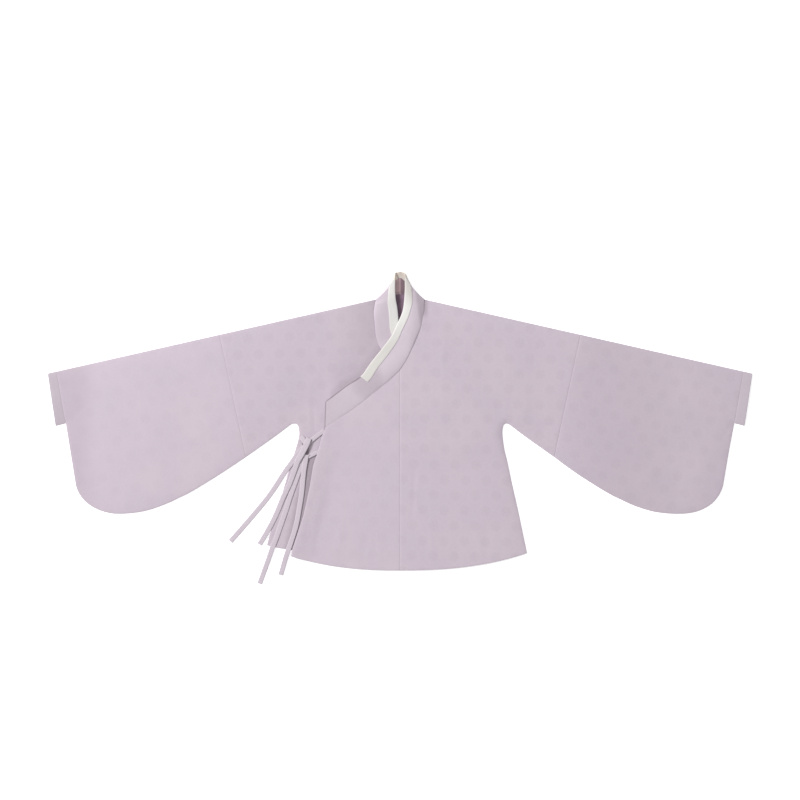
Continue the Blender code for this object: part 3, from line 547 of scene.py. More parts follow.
def front_relief(x, y):
    """Waves, creases and puckers of the fronts, the lift at the neck and the swell beside the collar."""
    out = sum(height * waviness(x, y, scale, seed) for height, scale, seed in FRONT_WAVES)
    out += creased(x, y, CREASES)
    for side in (1.0, -1.0):
        out += puckered(side * x, y, SLEEVE_SEAM, *SLEEVE_PUCKER)
        out += puckered(side * x, y, CUFF_SEAM, *CUFF_PUCKER)
    out += puckered(x, y, CENTRE_SEAM, *CENTRE_PUCKER)
    at_neck = np.exp(-near(x, y, RIGHT_NECK)[0] / NECK_LIFT_REACH)
    out += NECK_LIFT * at_neck * rise(*BESIDE_THE_NECK, y) * (x > NECK_LIFT_X)
    beside = near(x, y, OVER_EDGE)[0]
    swell, groove = np.exp(-(((beside - SWELL_AT) / SWELL_WIDTH) ** 2)), np.exp(-beside / GROOVE_REACH)
    out += (COLLAR_SWELL * swell - COLLAR_SWELL * groove) * (x < SWELL_END_X)
    under_ties = (x > UNDER_TIES_X[0]) & (x < UNDER_TIES_X[1]) & (y < 0.0)
    highest = np.where(under_ties, HIGHEST_UNDER_TIES, HIGHEST_CREASE)
    return np.clip(out, DEEPEST_CREASE, highest)


def back_relief(x, y):
    height, scale, seed = BACK_WAVES
    out = BACK_LIFT + height * waviness(x, y, scale, seed) + creased(x, y, BACK_CREASES)
    return np.clip(out, 0.0, HIGHEST_BACK)


def signed_area(points):
    x, y = points[:, 0], points[:, 1]
    return float(np.sum(x * np.roll(y, -1) - np.roll(x, -1) * y)) / 2


class Cut:
    """A closed cut made of runs: open hems, seams that meet another piece, and folds joined to the back."""

    def __init__(self, flip, *runs):
        self.runs = {"seam": [], "hem": [], "fold": [], "neck": []}
        kinds, points = [], []
        for kind, run in runs:
            run = flipped(run) if flip else np.array(run, float)
            self.runs[kind].append(run)
            points.append(run[:-1])
            kinds += [kind] * (len(run) - 1)
        self.points = np.concatenate(points)
        if signed_area(self.points) < 0:
            self.points = np.concatenate([self.points[:1], self.points[:0:-1]])
            kinds = kinds[::-1]
        self.count = len(self.points)
        step = np.roll(self.points, -1, axis=0) - self.points
        normal = np.stack([step[:, 1], -step[:, 0]], axis=1) / np.linalg.norm(step, axis=1)[:, None]
        before = np.roll(normal, 1, axis=0)
        self.folded = np.array([kind == "fold" for kind in kinds])
        was = np.roll(self.folded, 1)
        of_fold = np.where(self.folded[:, None], normal, before)
        mean = np.where((self.folded == was)[:, None], before + normal, of_fold)
        self.out = mean / np.linalg.norm(mean, axis=1)[:, None]
        self.pulled = self.folded | was
        self.points = self.points - self.out * np.where(self.pulled, FOLD_BULGE, 0.0)[:, None]

    def inside(self, x, y):
        found = np.zeros(x.shape, bool)
        after = np.roll(self.points, -1, axis=0)
        for (ax, ay), (bx, by) in zip(self.points, after):
            if ay != by:
                found ^= ((ay > y) != (by > y)) & (x < (bx - ax) * (y - ay) / (by - ay) + ax)
        return found

    def drawn(self):
        """Points of the cut with rings along its edge and a grid inside, and the triangles between them."""
        ring = np.concatenate([self.points, self.points[:1]])
        laid = [self.points]
        for depth in RINGS:
            p = self.points - self.out * depth
            keep = self.inside(p[:, 0], p[:, 1]) & (near(p[:, 0], p[:, 1], ring)[0] > 0.93 * depth)
            laid.append(p[keep])
        low, high = self.points.min(0), self.points.max(0)
        steps = np.array((GRID, ROW_SHARE * GRID))
        first, last = np.floor(low / steps), np.ceil(high / steps)
        r, c = np.meshgrid(np.arange(first[1], last[1] + 1), np.arange(first[0], last[0] + 1))
        x, y = ((c + 0.5 * (r % 2)) * GRID).ravel(), (r * ROW_SHARE * GRID).ravel()
        keep = self.inside(x, y)
        x, y = x[keep], y[keep]
        keep = near(x, y, ring)[0] > RINGS[-1] + 0.5 * GRID
        laid.append(np.stack([x[keep], y[keep]], axis=1))
        points = np.concatenate(laid)
        rim = [(i, (i + 1) % self.count) for i in range(self.count)]
        got = delaunay_2d_cdt([Vector(p) for p in points.tolist()], rim, [], 1, 1e-7)
        index = [o[0] for o in got[3]]
        return points, [tuple(index[i] for i in face) for face in got[2]]

    def edge_dip(self, points):
        """How far the cloth curves down beside its seams, folds and hems."""
        x, y = points[:, 0], points[:, 1]
        dip, high = np.zeros(len(points)), rise(*UP_THE_NECK, y)
        for kind, depth, reach in (
            ("seam", 0.00030, 0.0012),
            ("neck", 0.00006 + 0.00022 * high, 0.0012),
            ("fold", 0.00060, 0.0022),
            ("hem", 0.00022, 0.0010),
        ):
            for run in self.runs[kind]:
                dip = np.maximum(dip, depth * np.exp(-near(x, y, run)[0] / reach))
        for run in self.runs["hem"]:
            dip -= HEM_PUFF * (1.0 - rise(*HEM_TURN, near(x, y, run)[0]))
        return dip


class Piece:
    """A mesh under construction, with a finish and cloth measures for each face."""

    def __init__(self, node):
        self.node, self.mesh = node, bmesh.new()
        self.layer = self.mesh.loops.layers.uv.new("cloth")

    def face(self, verts, slot=0, cloth=None):
        made = self.mesh.faces.new(verts)
        made.material_index, made.smooth = slot, True
        if cloth:
            for loop, place in zip(made.loops, cloth):
                loop[self.layer].uv = place

    def finish(self, finishes, slot, flat, held, rests_on, area, sharp=BAND_SHARP):
        name = self.node + "_cloth"
        bmesh.ops.recalc_face_normals(self.mesh, faces=self.mesh.faces)
        data = bpy.data.meshes.new(name)
        self.mesh.to_mesh(data)
        self.mesh.free()
        for material in finishes:
            data.materials.append(material)
        data.set_sharp_from_angle(angle=math.radians(sharp))
        made = bpy.data.objects.new(name, data)
        bpy.context.scene.collection.objects.link(made)
        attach(made, "root")
        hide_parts(self.node)


# Rounding of folds and of open edges: share of the way down, and share of the bulge
FOLD_PLACES = (0.14, 0.32, 0.5, 0.68, 0.86)
FOLD_TURN = [(0.5 - 0.5 * math.cos(math.pi * t), math.sin(math.pi * t) ** 0.8) for t in FOLD_PLACES]
RIM_TURN = ((0.25, 0.8), (0.5, 1.0), (0.75, 0.8))


def layer(piece, cut, height, right_side_up):
    """Both skins of one layer of cloth and its open edges; returns the skins' corners on the cut."""
    points, faces = cut.drawn()
    top = height(points[:, 0], points[:, 1]) - (cut.edge_dip(points) if right_side_up else 0.0)
    new = piece.mesh.verts.new
    upper = [new((x, y, z)) for (x, y), z in zip(points.tolist(), top.tolist())]
    lower = [new((x, y, z - CLOTH)) for (x, y), z in zip(points.tolist(), top.tolist())]
    for face in faces:
        piece.face([upper[i] for i in face], 0 if right_side_up else 1)
        piece.face([lower[i] for i in reversed(face)], 1 if right_side_up else 0)
    chains = []
    for i in range(cut.count):
        out = Vector((*cut.out[i], 0.0)) * RIM_BULGE
        if cut.pulled[i]:
            chains.append([upper[i], lower[i]])
        else:
            middle = [new(upper[i].co.lerp(lower[i].co, part) + out * size) for part, size in RIM_TURN]
            chains.append([upper[i], *middle, lower[i]])
    for i in range(cut.count):
        if not cut.folded[i]:
            a, b = chains[i], chains[(i + 1) % cut.count]
            if len(a) == len(b):
                for k in range(len(a) - 1):
                    piece.face((a[k], a[k + 1], b[k + 1], b[k]))
            else:
                piece.face([*a, *reversed(b)])
    return upper[: cut.count], lower[: cut.count]


def joined(piece, front, back, front_skins, back_skins):
    """The fold or closed seam between the layers: a rounded outer skin and a plain inner one."""
    places = [i for i in range(front.count) if front.pulled[i]]
    match = {i: int(np.argmin(np.hypot(*(back.points - front.points[i]).T))) for i in places}
    chains = {}
    for i, j in match.items():
        top, foot = front_skins[0][i], back_skins[1][j]
        out = Vector((*front.out[i], 0.0)) * FOLD_BULGE
        turn = [piece.mesh.verts.new(top.co.lerp(foot.co, part) + out * size) for part, size in FOLD_TURN]
        chains[i] = [top, *turn, foot]
    for i, j in match.items():
        after = (i + 1) % front.count
        inner = front_skins[1][i], back_skins[0][j]
        if front.folded[i]:
            a, b = chains[i], chains[after]
            for k in range(len(a) - 1):
                piece.face((a[k], a[k + 1], b[k + 1], b[k]))
            piece.face((inner[0], front_skins[1][after], back_skins[0][match[after]], inner[1]), 1)
        if front.folded[i] != front.folded[i - 1]:
            piece.face([*chains[i], inner[1], inner[0]])


def front_height(level):
    return lambda x, y: level(x, y) + WALL + front_relief(x, y)


def back_height(x, y):
    return CLOTH + back_relief(x, y)


def panel(node, cloth, rests_on, front, back=None, level=front_level):
    piece = Piece(node)
    front_skins = layer(piece, front, front_height(level), True)
    area = abs(signed_area(front.points))
    if back:
        back_skins = layer(piece, back, back_height, False)
        joined(piece, front, back, front_skins, back_skins)
        area += abs(signed_area(back.points))
    slot = "plain_lilac" if "cuff" in node else "jacquard"
    flat = FLAT[node]
    area = min(area, flat[0] * flat[1])
    piece.finish((cloth, inside_cloth), slot, flat, "laid", rests_on, area, PANEL_SHARP)


# Finishes


class Value:
    """A number that varies over the cloth, wired with Math nodes by plain Python arithmetic."""

    def __init__(self, finish, socket):
        self.finish, self.socket = finish, socket

    def does(self, operation, *others):
        return self.finish.node("ShaderNodeMath", {"operation": operation}, [self, *others])

    def __add__(self, other):
        return self.does("ADD", other)

    def __sub__(self, other):
        return self.does("SUBTRACT", other)

    def __rsub__(self, other):
        return self.finish.node("ShaderNodeMath", {"operation": "SUBTRACT"}, [other, self])

    def __mul__(self, other):
        return self.does("MULTIPLY", other)

    __radd__, __rmul__ = __add__, __mul__

    def __truediv__(self, other):
        return self.does("DIVIDE", other)

    def __pow__(self, other):
        return self.does("POWER", other)

    def __neg__(self):
        return self.does("MULTIPLY", -1.0)

    def sin(self):
        return self.does("SINE")

    def round(self):
        return self.does("ROUND")

    def least(self, other):
        return self.does("MINIMUM", other)

    def most(self, other):
        return self.does("MAXIMUM", other)

    def size(self):
        return self.does("ABSOLUTE")

    def between(self, start, end):
        """0 at start, 1 at end, smooth between."""
        given = {"Value": self, "From Min": start, "From Max": end}
        return self.finish.node("ShaderNodeMapRange", {"interpolation_type": "SMOOTHSTEP"}, given, "Result")

    def until(self, start, end):
        """1 at start, 0 at end, smooth between."""
        return 1.0 - self.between(start, end)


class Finish:
    """A cloth finish under construction."""

    def __init__(self, name, roughness, sheen, sheen_tint):
        self.material = bpy.data.materials.new(name)
        self.material.use_nodes = True
        self.tree = self.material.node_tree
        self.shader = self.tree.nodes["Principled BSDF"]
        self.shader.inputs["Roughness"].default_value = roughness
        self.shader.inputs["Specular IOR Level"].default_value = 0.3
        self.shader.inputs["Sheen Weight"].default_value = sheen
        self.shader.inputs["Sheen Roughness"].default_value = 0.45
        self.shader.inputs["Sheen Tint"].default_value = (*sheen_tint, 1.0)

    def node(self, kind, settings=None, given=(), output=0):
        made = self.tree.nodes.new(kind)
        for name, value in (settings or {}).items():
            setattr(made, name, value)
        for key, value in given.items() if isinstance(given, dict) else enumerate(given):
            if isinstance(value, Value):
                self.tree.links.new(value.socket, made.inputs[key])
            else:
                made.inputs[key].default_value = value
        return Value(self, made.outputs[output])

    def place(self, source="Object"):
        """The coordinates on the cloth, in metres."""
        coordinates = self.node("ShaderNodeTexCoord", output=source)
        split = self.tree.nodes.new("ShaderNodeSeparateXYZ")
        self.tree.links.new(coordinates.socket, split.inputs[0])
        return coordinates, Value(self, split.outputs[0]), Value(self, split.outputs[1])

    def cloud(self, coordinates, scale, detail=2.0):
        given = {"Vector": coordinates, "Scale": scale, "Detail": detail, "Roughness": 0.5}
        return self.node("ShaderNodeTexNoise", {}, given)

    def mixed(self, share, one, other):
        made = self.tree.nodes.new("ShaderNodeMix")
        made.data_type = "RGBA"
        for key, value in (("Factor", share), ("A", one), ("B", other)):
            socket = next(s for s in made.inputs if s.name == key and s.enabled)
            if isinstance(value, Value):
                self.tree.links.new(value.socket, socket)
            else:
                socket.default_value = value if key == "Factor" else (*value, 1.0)
        return Value(self, next(s for s in made.outputs if s.enabled))

    def wear(self, colour, relief, depth, roughness=None):
        """Wires the colour, the thread relief and the roughness, and returns the material."""
        self.tree.links.new(colour.socket, self.shader.inputs["Base Color"])
        bump = self.node("ShaderNodeBump", {}, {"Height": relief, "Distance": depth, "Strength": 1.0})
        self.tree.links.new(bump.socket, self.shader.inputs["Normal"])
        if roughness:
            self.tree.links.new(roughness.socket, self.shader.inputs["Roughness"])
        return self.material


THREAD = 2.0 * math.pi / 0.0009
THREAD_DEPTH = 0.00009
TWILL_RIB = 2.0 * math.pi / 0.0013
TWILL_DEPTH = 0.00008
# Colours that painted shade mixes towards, on the right side and on the wrong side of the cloth
SHADED, SHADED_INSIDE = (0.20, 0.155, 0.185), (0.11, 0.07, 0.09)

# Lilacs of the jacquard and of the plain weave
GROUND, WARM, COOL = (0.566, 0.488, 0.562), (0.590, 0.506, 0.570), (0.570, 0.486, 0.575)
PALE, DEEP, BRIGHT = (0.622, 0.545, 0.610), (0.508, 0.432, 0.500), (0.628, 0.552, 0.618)
COLLAR_LILAC, CUFF_LILAC, TIE_LILAC = (0.592, 0.512, 0.584), (0.580, 0.502, 0.574), (0.620, 0.545, 0.612)
PLAIN_PALE, PLAIN_BRIGHT = (0.64, 0.57, 0.63), (0.66, 0.59, 0.65)

# Whites of the guard, the painted highlight of its fold, and the painted light of its top-left corner at the
# back
WHITE, WHITE_PALE = (0.705, 0.686, 0.662), (0.744, 0.731, 0.715)
WHITE_RIB, FOLD_HIGHLIGHT = (0.82, 0.81, 0.80), (0.86, 0.86, 0.85)
DULL_BEIGE, LOW_WHITE, PAINTED_LIGHT_WARM = (0.57, 0.505, 0.455), (0.56, 0.535, 0.50), (0.93, 0.84, 0.75)

# A roundel: radii where each of its parts fades, and how far the petals move them
FLOWER_RIM, FLOWER_EYE, FLOWER_GAP = (0.0080, 0.0146), (0.0022, 0.0040), (0.0004, 0.0016)
GAP_RADIUS, HALO_RADIUS, HALO_WIDTH = 0.0058, 0.0185, 0.0034
RIM_PETAL, GAP_PETAL = 0.0014, 0.0010

# Repeats of the jacquard: turn in degrees, pitch, height of a row, and the place of one roundel
RIGHT_BODY_REPEAT = (-1.0, 0.0530, 0.0390, -0.0163, -0.0119)
LEFT_BODY_REPEAT = (2.0, 0.0530, 0.0420, -0.0084, -0.0088)
FLAP_REPEAT = (-2.0, 0.0485, 0.0415, -0.0104, 0.0102)
RIGHT_SLEEVE_REPEAT = (-11.7, 0.0535, 0.0390, -0.0048, -0.0147)
LEFT_SLEEVE_REPEAT = (10.7, 0.0540, 0.0420, -0.0122, 0.0191)


def turned(x, y, degrees):
    c, s = math.cos(math.radians(degrees)), math.sin(math.radians(degrees))
    return x * c + y * s, y * c - x * s


def roundel(u, v, pitch, row):
    """The nearest roundel's flower and the pale ring round it; every other row is set half a pitch over."""
    legs = []
    for shift_u, shift_v in ((0.0, 0.0), (0.5 * pitch, row)):
        a, b = (u - shift_u) / pitch, (v - shift_v) / (2.0 * row)
        a, b = (a - a.round()) * pitch, (b - b.round()) * (2.0 * row)
        legs.append((a, b, (a * a + b * b) ** 0.5))
    (a0, b0, d0), (a1, b1, d1) = legs
    first = d0.does("LESS_THAN", d1)
    a, b = a1 + (a0 - a1) * first, b1 + (b0 - b1) * first
    from_centre, turn = d0.least(d1), b.does("ARCTAN2", a)
    petal = (turn * 6.0).sin()
    rim = (from_centre + petal * RIM_PETAL).until(*FLOWER_RIM)
    gap = (from_centre - GAP_RADIUS - petal * GAP_PETAL).size().between(*FLOWER_GAP)
    vein = (turn * 3.0).sin().size().between(0.03, 0.22)
    flower = rim * (0.55 + 0.45 * gap) * (0.72 + 0.28 * vein)
    halo = (from_centre - HALO_RADIUS).size().until(0.0, HALO_WIDTH)
    return flower.most(from_centre.until(*FLOWER_EYE) * 0.9), halo


def toned(tone, *colours):
    return [tuple(tone * part for part in colour) for colour in colours]


def jacquard(name, repeat, strength=1.0, tone=1.0, painted_shade=None):
    """Pale lilac cloth with staggered woven flower roundels a shade deeper than the ground."""
    finish = Finish(name, roughness=0.7, sheen=0.18, sheen_tint=(0.92, 0.86, 0.92))
    degrees, pitch, row, u0, v0 = repeat
    coordinates, x, y = finish.place()
    u, v = turned(x, y, degrees)
    flower, halo = roundel(u - u0, v - v0, pitch, row)
    weft, warp = (y * THREAD).sin(), (x * THREAD).sin()
    slub = finish.cloud(coordinates, 190.0, 3.0)
    patch = finish.cloud(coordinates, 9.0, 2.0)
    drift = finish.cloud(coordinates, 3.1, 1.0)
    plain_tone, warm, cool, pale, deep, bright = toned(tone, GROUND, WARM, COOL, PALE, DEEP, BRIGHT)
    ground = finish.mixed(patch.between(0.36, 0.64), plain_tone, warm)
    ground = finish.mixed(drift.between(0.30, 0.70) * 0.55, ground, cool)
    ground = finish.mixed(halo * 0.14 * strength, ground, pale)
    colour = finish.mixed(flower * 0.30 * strength, ground, deep)
    colour = finish.mixed(slub.between(0.30, 0.70) * 0.22, colour, bright)
    # Painted shade from the given mask
    if painted_shade:
        colour = finish.mixed(painted_shade(x, y), colour, SHADED)
    relief = weft * warp * 0.5 + slub * 0.6 - flower * 0.25
    return finish.wear(colour, relief, THREAD_DEPTH, 0.66 + flower * 0.05 + slub * 0.08)


def plain(name, lilac, source="Object", light=PLAIN_PALE, tone=1.0, painted_shade=None):
    """Plain weave, for the collar, the cuffs and the ties."""
    finish = Finish(name, roughness=0.75, sheen=0.15, sheen_tint=(0.92, 0.88, 0.92))
    coordinates, x, y = finish.place(source)
    weft, warp = (y * THREAD).sin(), (x * THREAD).sin()
    slub = finish.cloud(coordinates, 210.0, 3.0)
    patch = finish.cloud(coordinates, 14.0, 2.0)
    ground, pale, bright = toned(tone, lilac, light, PLAIN_BRIGHT)
    colour = finish.mixed(patch.between(0.32, 0.68) * 0.5, ground, pale)
    colour = finish.mixed(slub.between(0.30, 0.70) * 0.18, colour, bright)
    # Painted shade from the given mask
    if painted_shade:
        colour = finish.mixed(painted_shade(*finish.place()[1:]), colour, SHADED)
    return finish.wear(colour, weft * warp * 0.5 + slub * 0.6, THREAD_DEPTH, 0.70 + slub * 0.10)


def wrong_side(name, tone, deep, painted_shade=None):
    """The wrong side of the cloth, duller than the right side, in the given tones, which are partly painted
    shade and painted light for the inside of the neck.
    """
    finish = Finish(name, roughness=0.85, sheen=0.05, sheen_tint=(0.8, 0.75, 0.8))
    coordinates, x, y = finish.place()
    streak = finish.cloud(coordinates, 60.0, 2.0)
    weft = (y * THREAD).sin() * (x * THREAD).sin()
    colour = finish.mixed(streak.between(0.30, 0.70), deep, tone)
    # Painted shade from the given mask
    if painted_shade:
        colour = finish.mixed(painted_shade(x, y), colour, SHADED_INSIDE)
    return finish.wear(colour, weft * 0.5 + streak * 0.5, THREAD_DEPTH)


def twill(name):
    """White twill of the collar guard, with a painted highlight along its fold and duller beige at the back
    of the neck and on its turned-in leg.
    """
    finish = Finish(name, roughness=0.72, sheen=0.12, sheen_tint=(1.0, 1.0, 1.0))
    coordinates, across, along = finish.place("UV")
    rib = ((across + along) * TWILL_RIB).sin()
    slub = finish.cloud(coordinates, 160.0, 3.0)
    patch = finish.cloud(coordinates, 22.0, 2.0)
    # Painted highlight along the pressed fold, where it catches the light
    fold_highlight = (across - GUARD_OUTER).size().until(0.0008, 0.0030)
    colour = finish.mixed(patch.between(0.34, 0.66) * 0.6, WHITE, WHITE_PALE)
    colour = finish.mixed(rib.between(-0.6, 0.9) * 0.25, colour, WHITE_RIB)
    colour = finish.mixed(fold_highlight * 0.9, colour, FOLD_HIGHLIGHT)
    side, height = finish.place()[1:]
    # Duller beige at the back of the neck, right of the neck and on the turned-in leg
    right_of_neck = side.between(-0.010, 0.012) * height.between(0.30, 0.36) * 0.35
    turned_in = across.between(GUARD_OUTER + 0.002, GUARD_OUTER + 0.006) * 0.8
    dull_beige = height.between(0.372, 0.392).most(right_of_neck).most(turned_in)
    colour = finish.mixed(dull_beige, colour, DULL_BEIGE)
    colour = finish.mixed(height.until(0.20, 0.28) * 0.45, colour, LOW_WHITE)
    # Painted light on the back guard's top-left corner, lightening the shadow the left guard casts there
    painted_light_corner = (height * -0.341 - side + 0.1252).between(0.0, 0.0014) * height.between(0.376, 0.380)
    colour = finish.mixed(painted_light_corner * 0.9, colour, PAINTED_LIGHT_WARM)
    return finish.wear(colour, rib * 0.5 + slub * 0.7, TWILL_DEPTH, 0.68 + slub * 0.10)


def above_line(x, y, middle, half, height, slope, bow):
    """How far a place lies above a slanting line that bows between its ends, and its place along, -1 to 1."""
    along = (x - middle) / half
    return (y - height - x * slope - (1.0 - along * along) * bow) * math.cos(math.atan(slope)), along


def spot(x, y, centre, degrees, reach, width, solid=0.3):
    """1 in the middle of an oval spot and 0 outside it."""
    u, v = turned(x - centre[0], y - centre[1], degrees)
    u, v = u / reach, v / width
    return (u * u + v * v).until(solid, 1.7)


def body_left_painted_shade(x, y):
    """Painted shade, deeper beside the collar and in the hollow between the ties and the flap's edge."""
    # Painted shade on the chest beside the collar's free edge
    from_collar, along = above_line(x, y, -0.1013, 0.0593, 0.2286, 1.0, -0.0182)
    beside_collar = from_collar.until(0.0, 0.018) * 0.28 + from_collar.until(0.01, 0.10) * 0.19
    on_chest = x.between(-0.175, -0.065) * y.between(0.15, 0.20) * 0.18
    beside_collar = (beside_collar * along.size().until(0.80, 1.45)).most(on_chest)
    # The collar's lower end: a soft painted shade above it, and a thin painted contact shadow where it
    # touches, above and beside it
    above_end, across = above_line(x, y, -0.1431, 0.0448, 0.2017, 0.7128, 0.0021)
    shade = above_end.until(0.0, 0.040) * across.until(0.9, 1.2) * x.between(-0.200, -0.130)
    line_above = above_end.until(0.0010, 0.0036) * across.until(0.96, 1.10) * x.between(-0.1895, -0.1875)
    beside_end = 0.0392 * y - 0.1906 - x
    line_beside = beside_end.until(0.0008, 0.0034) * y.between(0.000, 0.004) * y.until(0.067, 0.069)
    beside_collar = beside_collar.most(shade * 0.22).most(line_above * 0.62).most(line_beside * 0.58)
    # Painted shade in the hollow under the ties and beside the upper knot
    down, to_edge = -y, x + 0.1960 - y * 0.2395
    depth = 0.46 - 0.12 * down.between(0.14, 0.28)
    hollow = to_edge.between(-0.034, -0.016) * down.between(0.064, 0.074) * depth
    beside_knot = x.between(-0.250, -0.246) * x.until(-0.2355, -0.2290)
    knot = beside_knot * (y + 0.0515).size().until(0.012, 0.018) * 0.80
    return beside_collar.most(hollow).most(knot)


def body_right_painted_shade(x, y):
    """Painted shade where the body turns down from the collar's seam."""
    return x.until(0.0635, 0.0760) * y.between(0.272, 0.305) * 0.36


def sleeve_painted_shade(x, y):
    """Painted shade, deeper on the right shoulder and towards the left cuff."""
    shoulder = x.between(0.38, 0.50) * x.until(0.60, 0.74) * 0.08
    return shoulder.most((-x).between(0.76, 0.83) * 0.16)


def collar_painted_shade(x, y):
    """Painted shade on the left front, below the guard, and where the right front rolls down to its seam."""
    left = (-x).between(0.0, 0.03) * y.between(0.17, 0.24) * 0.18
    low = (y.until(0.115, 0.20) * 0.17).most(spot(x, y, (-0.082, 0.114), 0.0, 0.050, 0.050, 0.0) * 0.32)
    from_seam = (x - (0.330 - y) * 0.155).between(0.037, 0.047)
    return left.most(low).most(from_seam * y.between(0.240, 0.285) * 0.28)


# Painted shade in the small deep creases of the knots: x, y, direction in degrees, half length, half width,
# depth
KNOT_CREASE_SHADES = (
    (-0.2491, -0.0396, -62.0, 0.0030, 0.0025, 1.00),
    (-0.2518, -0.0345, -60.0, 0.0062, 0.0013, 0.55),
    (-0.2266, -0.0318, 64.0, 0.0052, 0.0012, 0.75),
    (-0.2298, -0.0684, 80.0, 0.0019, 0.0016, 0.70),
    (-0.2314, -0.0774, 24.0, 0.0032, 0.0017, 0.80),
)


# Painted shade of the knots' creases, on the ties
def knot_painted_shade(x, y):
    deepest, *others = (spot(x, y, (cx, cy), *oval) * depth for cx, cy, *oval, depth in KNOT_CREASE_SHADES)
    for other in others:
        deepest = deepest.most(other)
    return deepest


def collar_inside_painted_shade(x, y):
    """Painted shade, deeper on the right and along the crease at the back of the neck."""
    return (x.between(-0.002, 0.004) * 0.82).most((y - 0.3445).size().until(0.002, 0.006) * 0.28)


body_right_cloth = jacquard("lilac_jacquard_right_body", RIGHT_BODY_REPEAT, 1.0, 0.99, body_right_painted_shade)
body_left_cloth = jacquard("lilac_jacquard_left_body", LEFT_BODY_REPEAT, 1.0, 0.955, body_left_painted_shade)
flap_cloth = jacquard("lilac_jacquard_flap", FLAP_REPEAT, 0.6)
sleeve_right_cloth = jacquard("lilac_jacquard_right_sleeve", RIGHT_SLEEVE_REPEAT, 0.85, 1.0, sleeve_painted_shade)
sleeve_left_cloth = jacquard("lilac_jacquard_left_sleeve", LEFT_SLEEVE_REPEAT, 0.55, 0.975, sleeve_painted_shade)
collar_cloth = plain("lilac_plain_collar", COLLAR_LILAC, "UV", tone=1.05, painted_shade=collar_painted_shade)
cuff_left_cloth = plain("lilac_plain_left_cuff", CUFF_LILAC, tone=0.81)
cuff_right_cloth = plain("lilac_plain_right_cuff", CUFF_LILAC, tone=0.945)
tie_cloth = plain("lilac_plain_ties", TIE_LILAC, "UV", PLAIN_BRIGHT, 0.95, knot_painted_shade)
# The inside: a deeper wrong side, partly the cloth's own reverse and partly painted shade for the dark inside
# of the neck
inside_cloth = wrong_side("lilac_wrong_side_painted_shade", (0.27, 0.18, 0.245), (0.205, 0.134, 0.186))
# The collar's inside: painted light in its bright tone against the shadow on its left, and painted shade on
# its right
collar_inside = wrong_side("collar_wrong_side_painted_light_and_shade", (0.68, 0.485, 0.51), (0.53, 0.375, 0.405), collar_inside_painted_shade)
guard_cloth = twill("white_guard_twill")


# Panels


def collar_seam(table, keep):
    rows = smooth_rows(table, COLLAR_STEPS)[:, :2]
    return rows[[keep(row[0]) for row in rows]]


def hem_line(side, lift, corner):
    x = np.linspace(SEAM / 2, corner[0], round(corner[0] / EDGE_STEP))
    wanted = hem_y(side * x) + lift
    wanted += (corner[1] - wanted[-1]) * rise(corner[0] - 0.05, corner[0], x)
    return np.stack([x, wanted], axis=1)


def body(node, cloth, flip, side, level, front_hem, back_hem, neckline):
    shoulder = line((SLEEVE_SEAM_TOP_X - SEAM, shoulder_y(SLEEVE_SEAM_TOP_X)), (NECK_X, NECK_Y))
    sleeve_seam = line((SLEEVE_SEAM_FOOT[0] - SEAM, SLEEVE_SEAM_FOOT[1]), tuple(shoulder[0]))
    under = curve(UNDERARM)
    under[0] = sleeve_seam[0]
    closed = np.concatenate([curve(side)[::-1], under[::-1][1:]])
    slits = [[], []]
    if flip:
        for k, corner in enumerate((LEFT_FRONT_CORNER, LEFT_BACK_CORNER)):
            points = [corner, *((row[1 + k], row[0]) for row in LEFT_SLIT[::-1])]
            slits[k] = [("hem", curve(points))]
    back_neck = curve([(NECK_X, NECK_Y), *BACK_NECK, (SEAM / 2, BACK_NECK_Y)])
    cuts = []
    for hem, slit, neck in (front_hem, slits[0], neckline), (back_hem, slits[1], back_neck):
        outside = ("hem", hem), *slit, ("fold", closed), ("seam", sleeve_seam), ("fold", shoulder)
        centre = line((SEAM / 2, neck[-1][1]), tuple(hem[0]))
        cuts.append(Cut(flip, *outside, ("neck", neck), ("seam", centre)))
    panel(node, cloth, ["floor"], *cuts, level)


def neckline_of(table, keep, flip):
    rows = collar_seam(table, keep)
    rows = flipped(rows) if flip else rows
    rows = rows if rows[0][1] > rows[-1][1] else rows[::-1]
    return even(np.concatenate([[(NECK_X, NECK_Y), NECK_TUCK], rows, [(SEAM / 2, CENTRE_SEAM_TOP)]]))


def sew_bodies():
    hems = hem_line(1.0, 0.0, RIGHT_SIDE[-1]), hem_line(1.0, BACK_HEM_LIFT, RIGHT_SIDE[-1])
    neck = neckline_of(OVER_COLLAR, lambda x: x > 0.002, False)
    body("body_right", body_right_cloth, False, RIGHT_SIDE, over_level, *hems, neck)
    hems = curve([*LEFT_FRONT_HEM, LEFT_FRONT_CORNER]), curve([*LEFT_BACK_HEM, LEFT_BACK_CORNER])
    neck = neckline_of(UNDER_COLLAR, lambda x: x < -0.002, True)
    body("body_left", body_left_cloth, True, LEFT_SIDE, front_level, *hems, neck)


def flap(node, cloth, under, hem, edge, rows, side, level):
    neck = even(np.concatenate([[edge[-1]], rows, [(side * SEAM / 2, CENTRE_SEAM_TOP)]]))
    seam = line(tuple(neck[-1]), tuple(hem[0]))
    cut = Cut(False, ("hem", hem), ("hem", edge), ("neck", neck), ("seam", seam))
    panel(node, cloth, [under], cut, level=level)


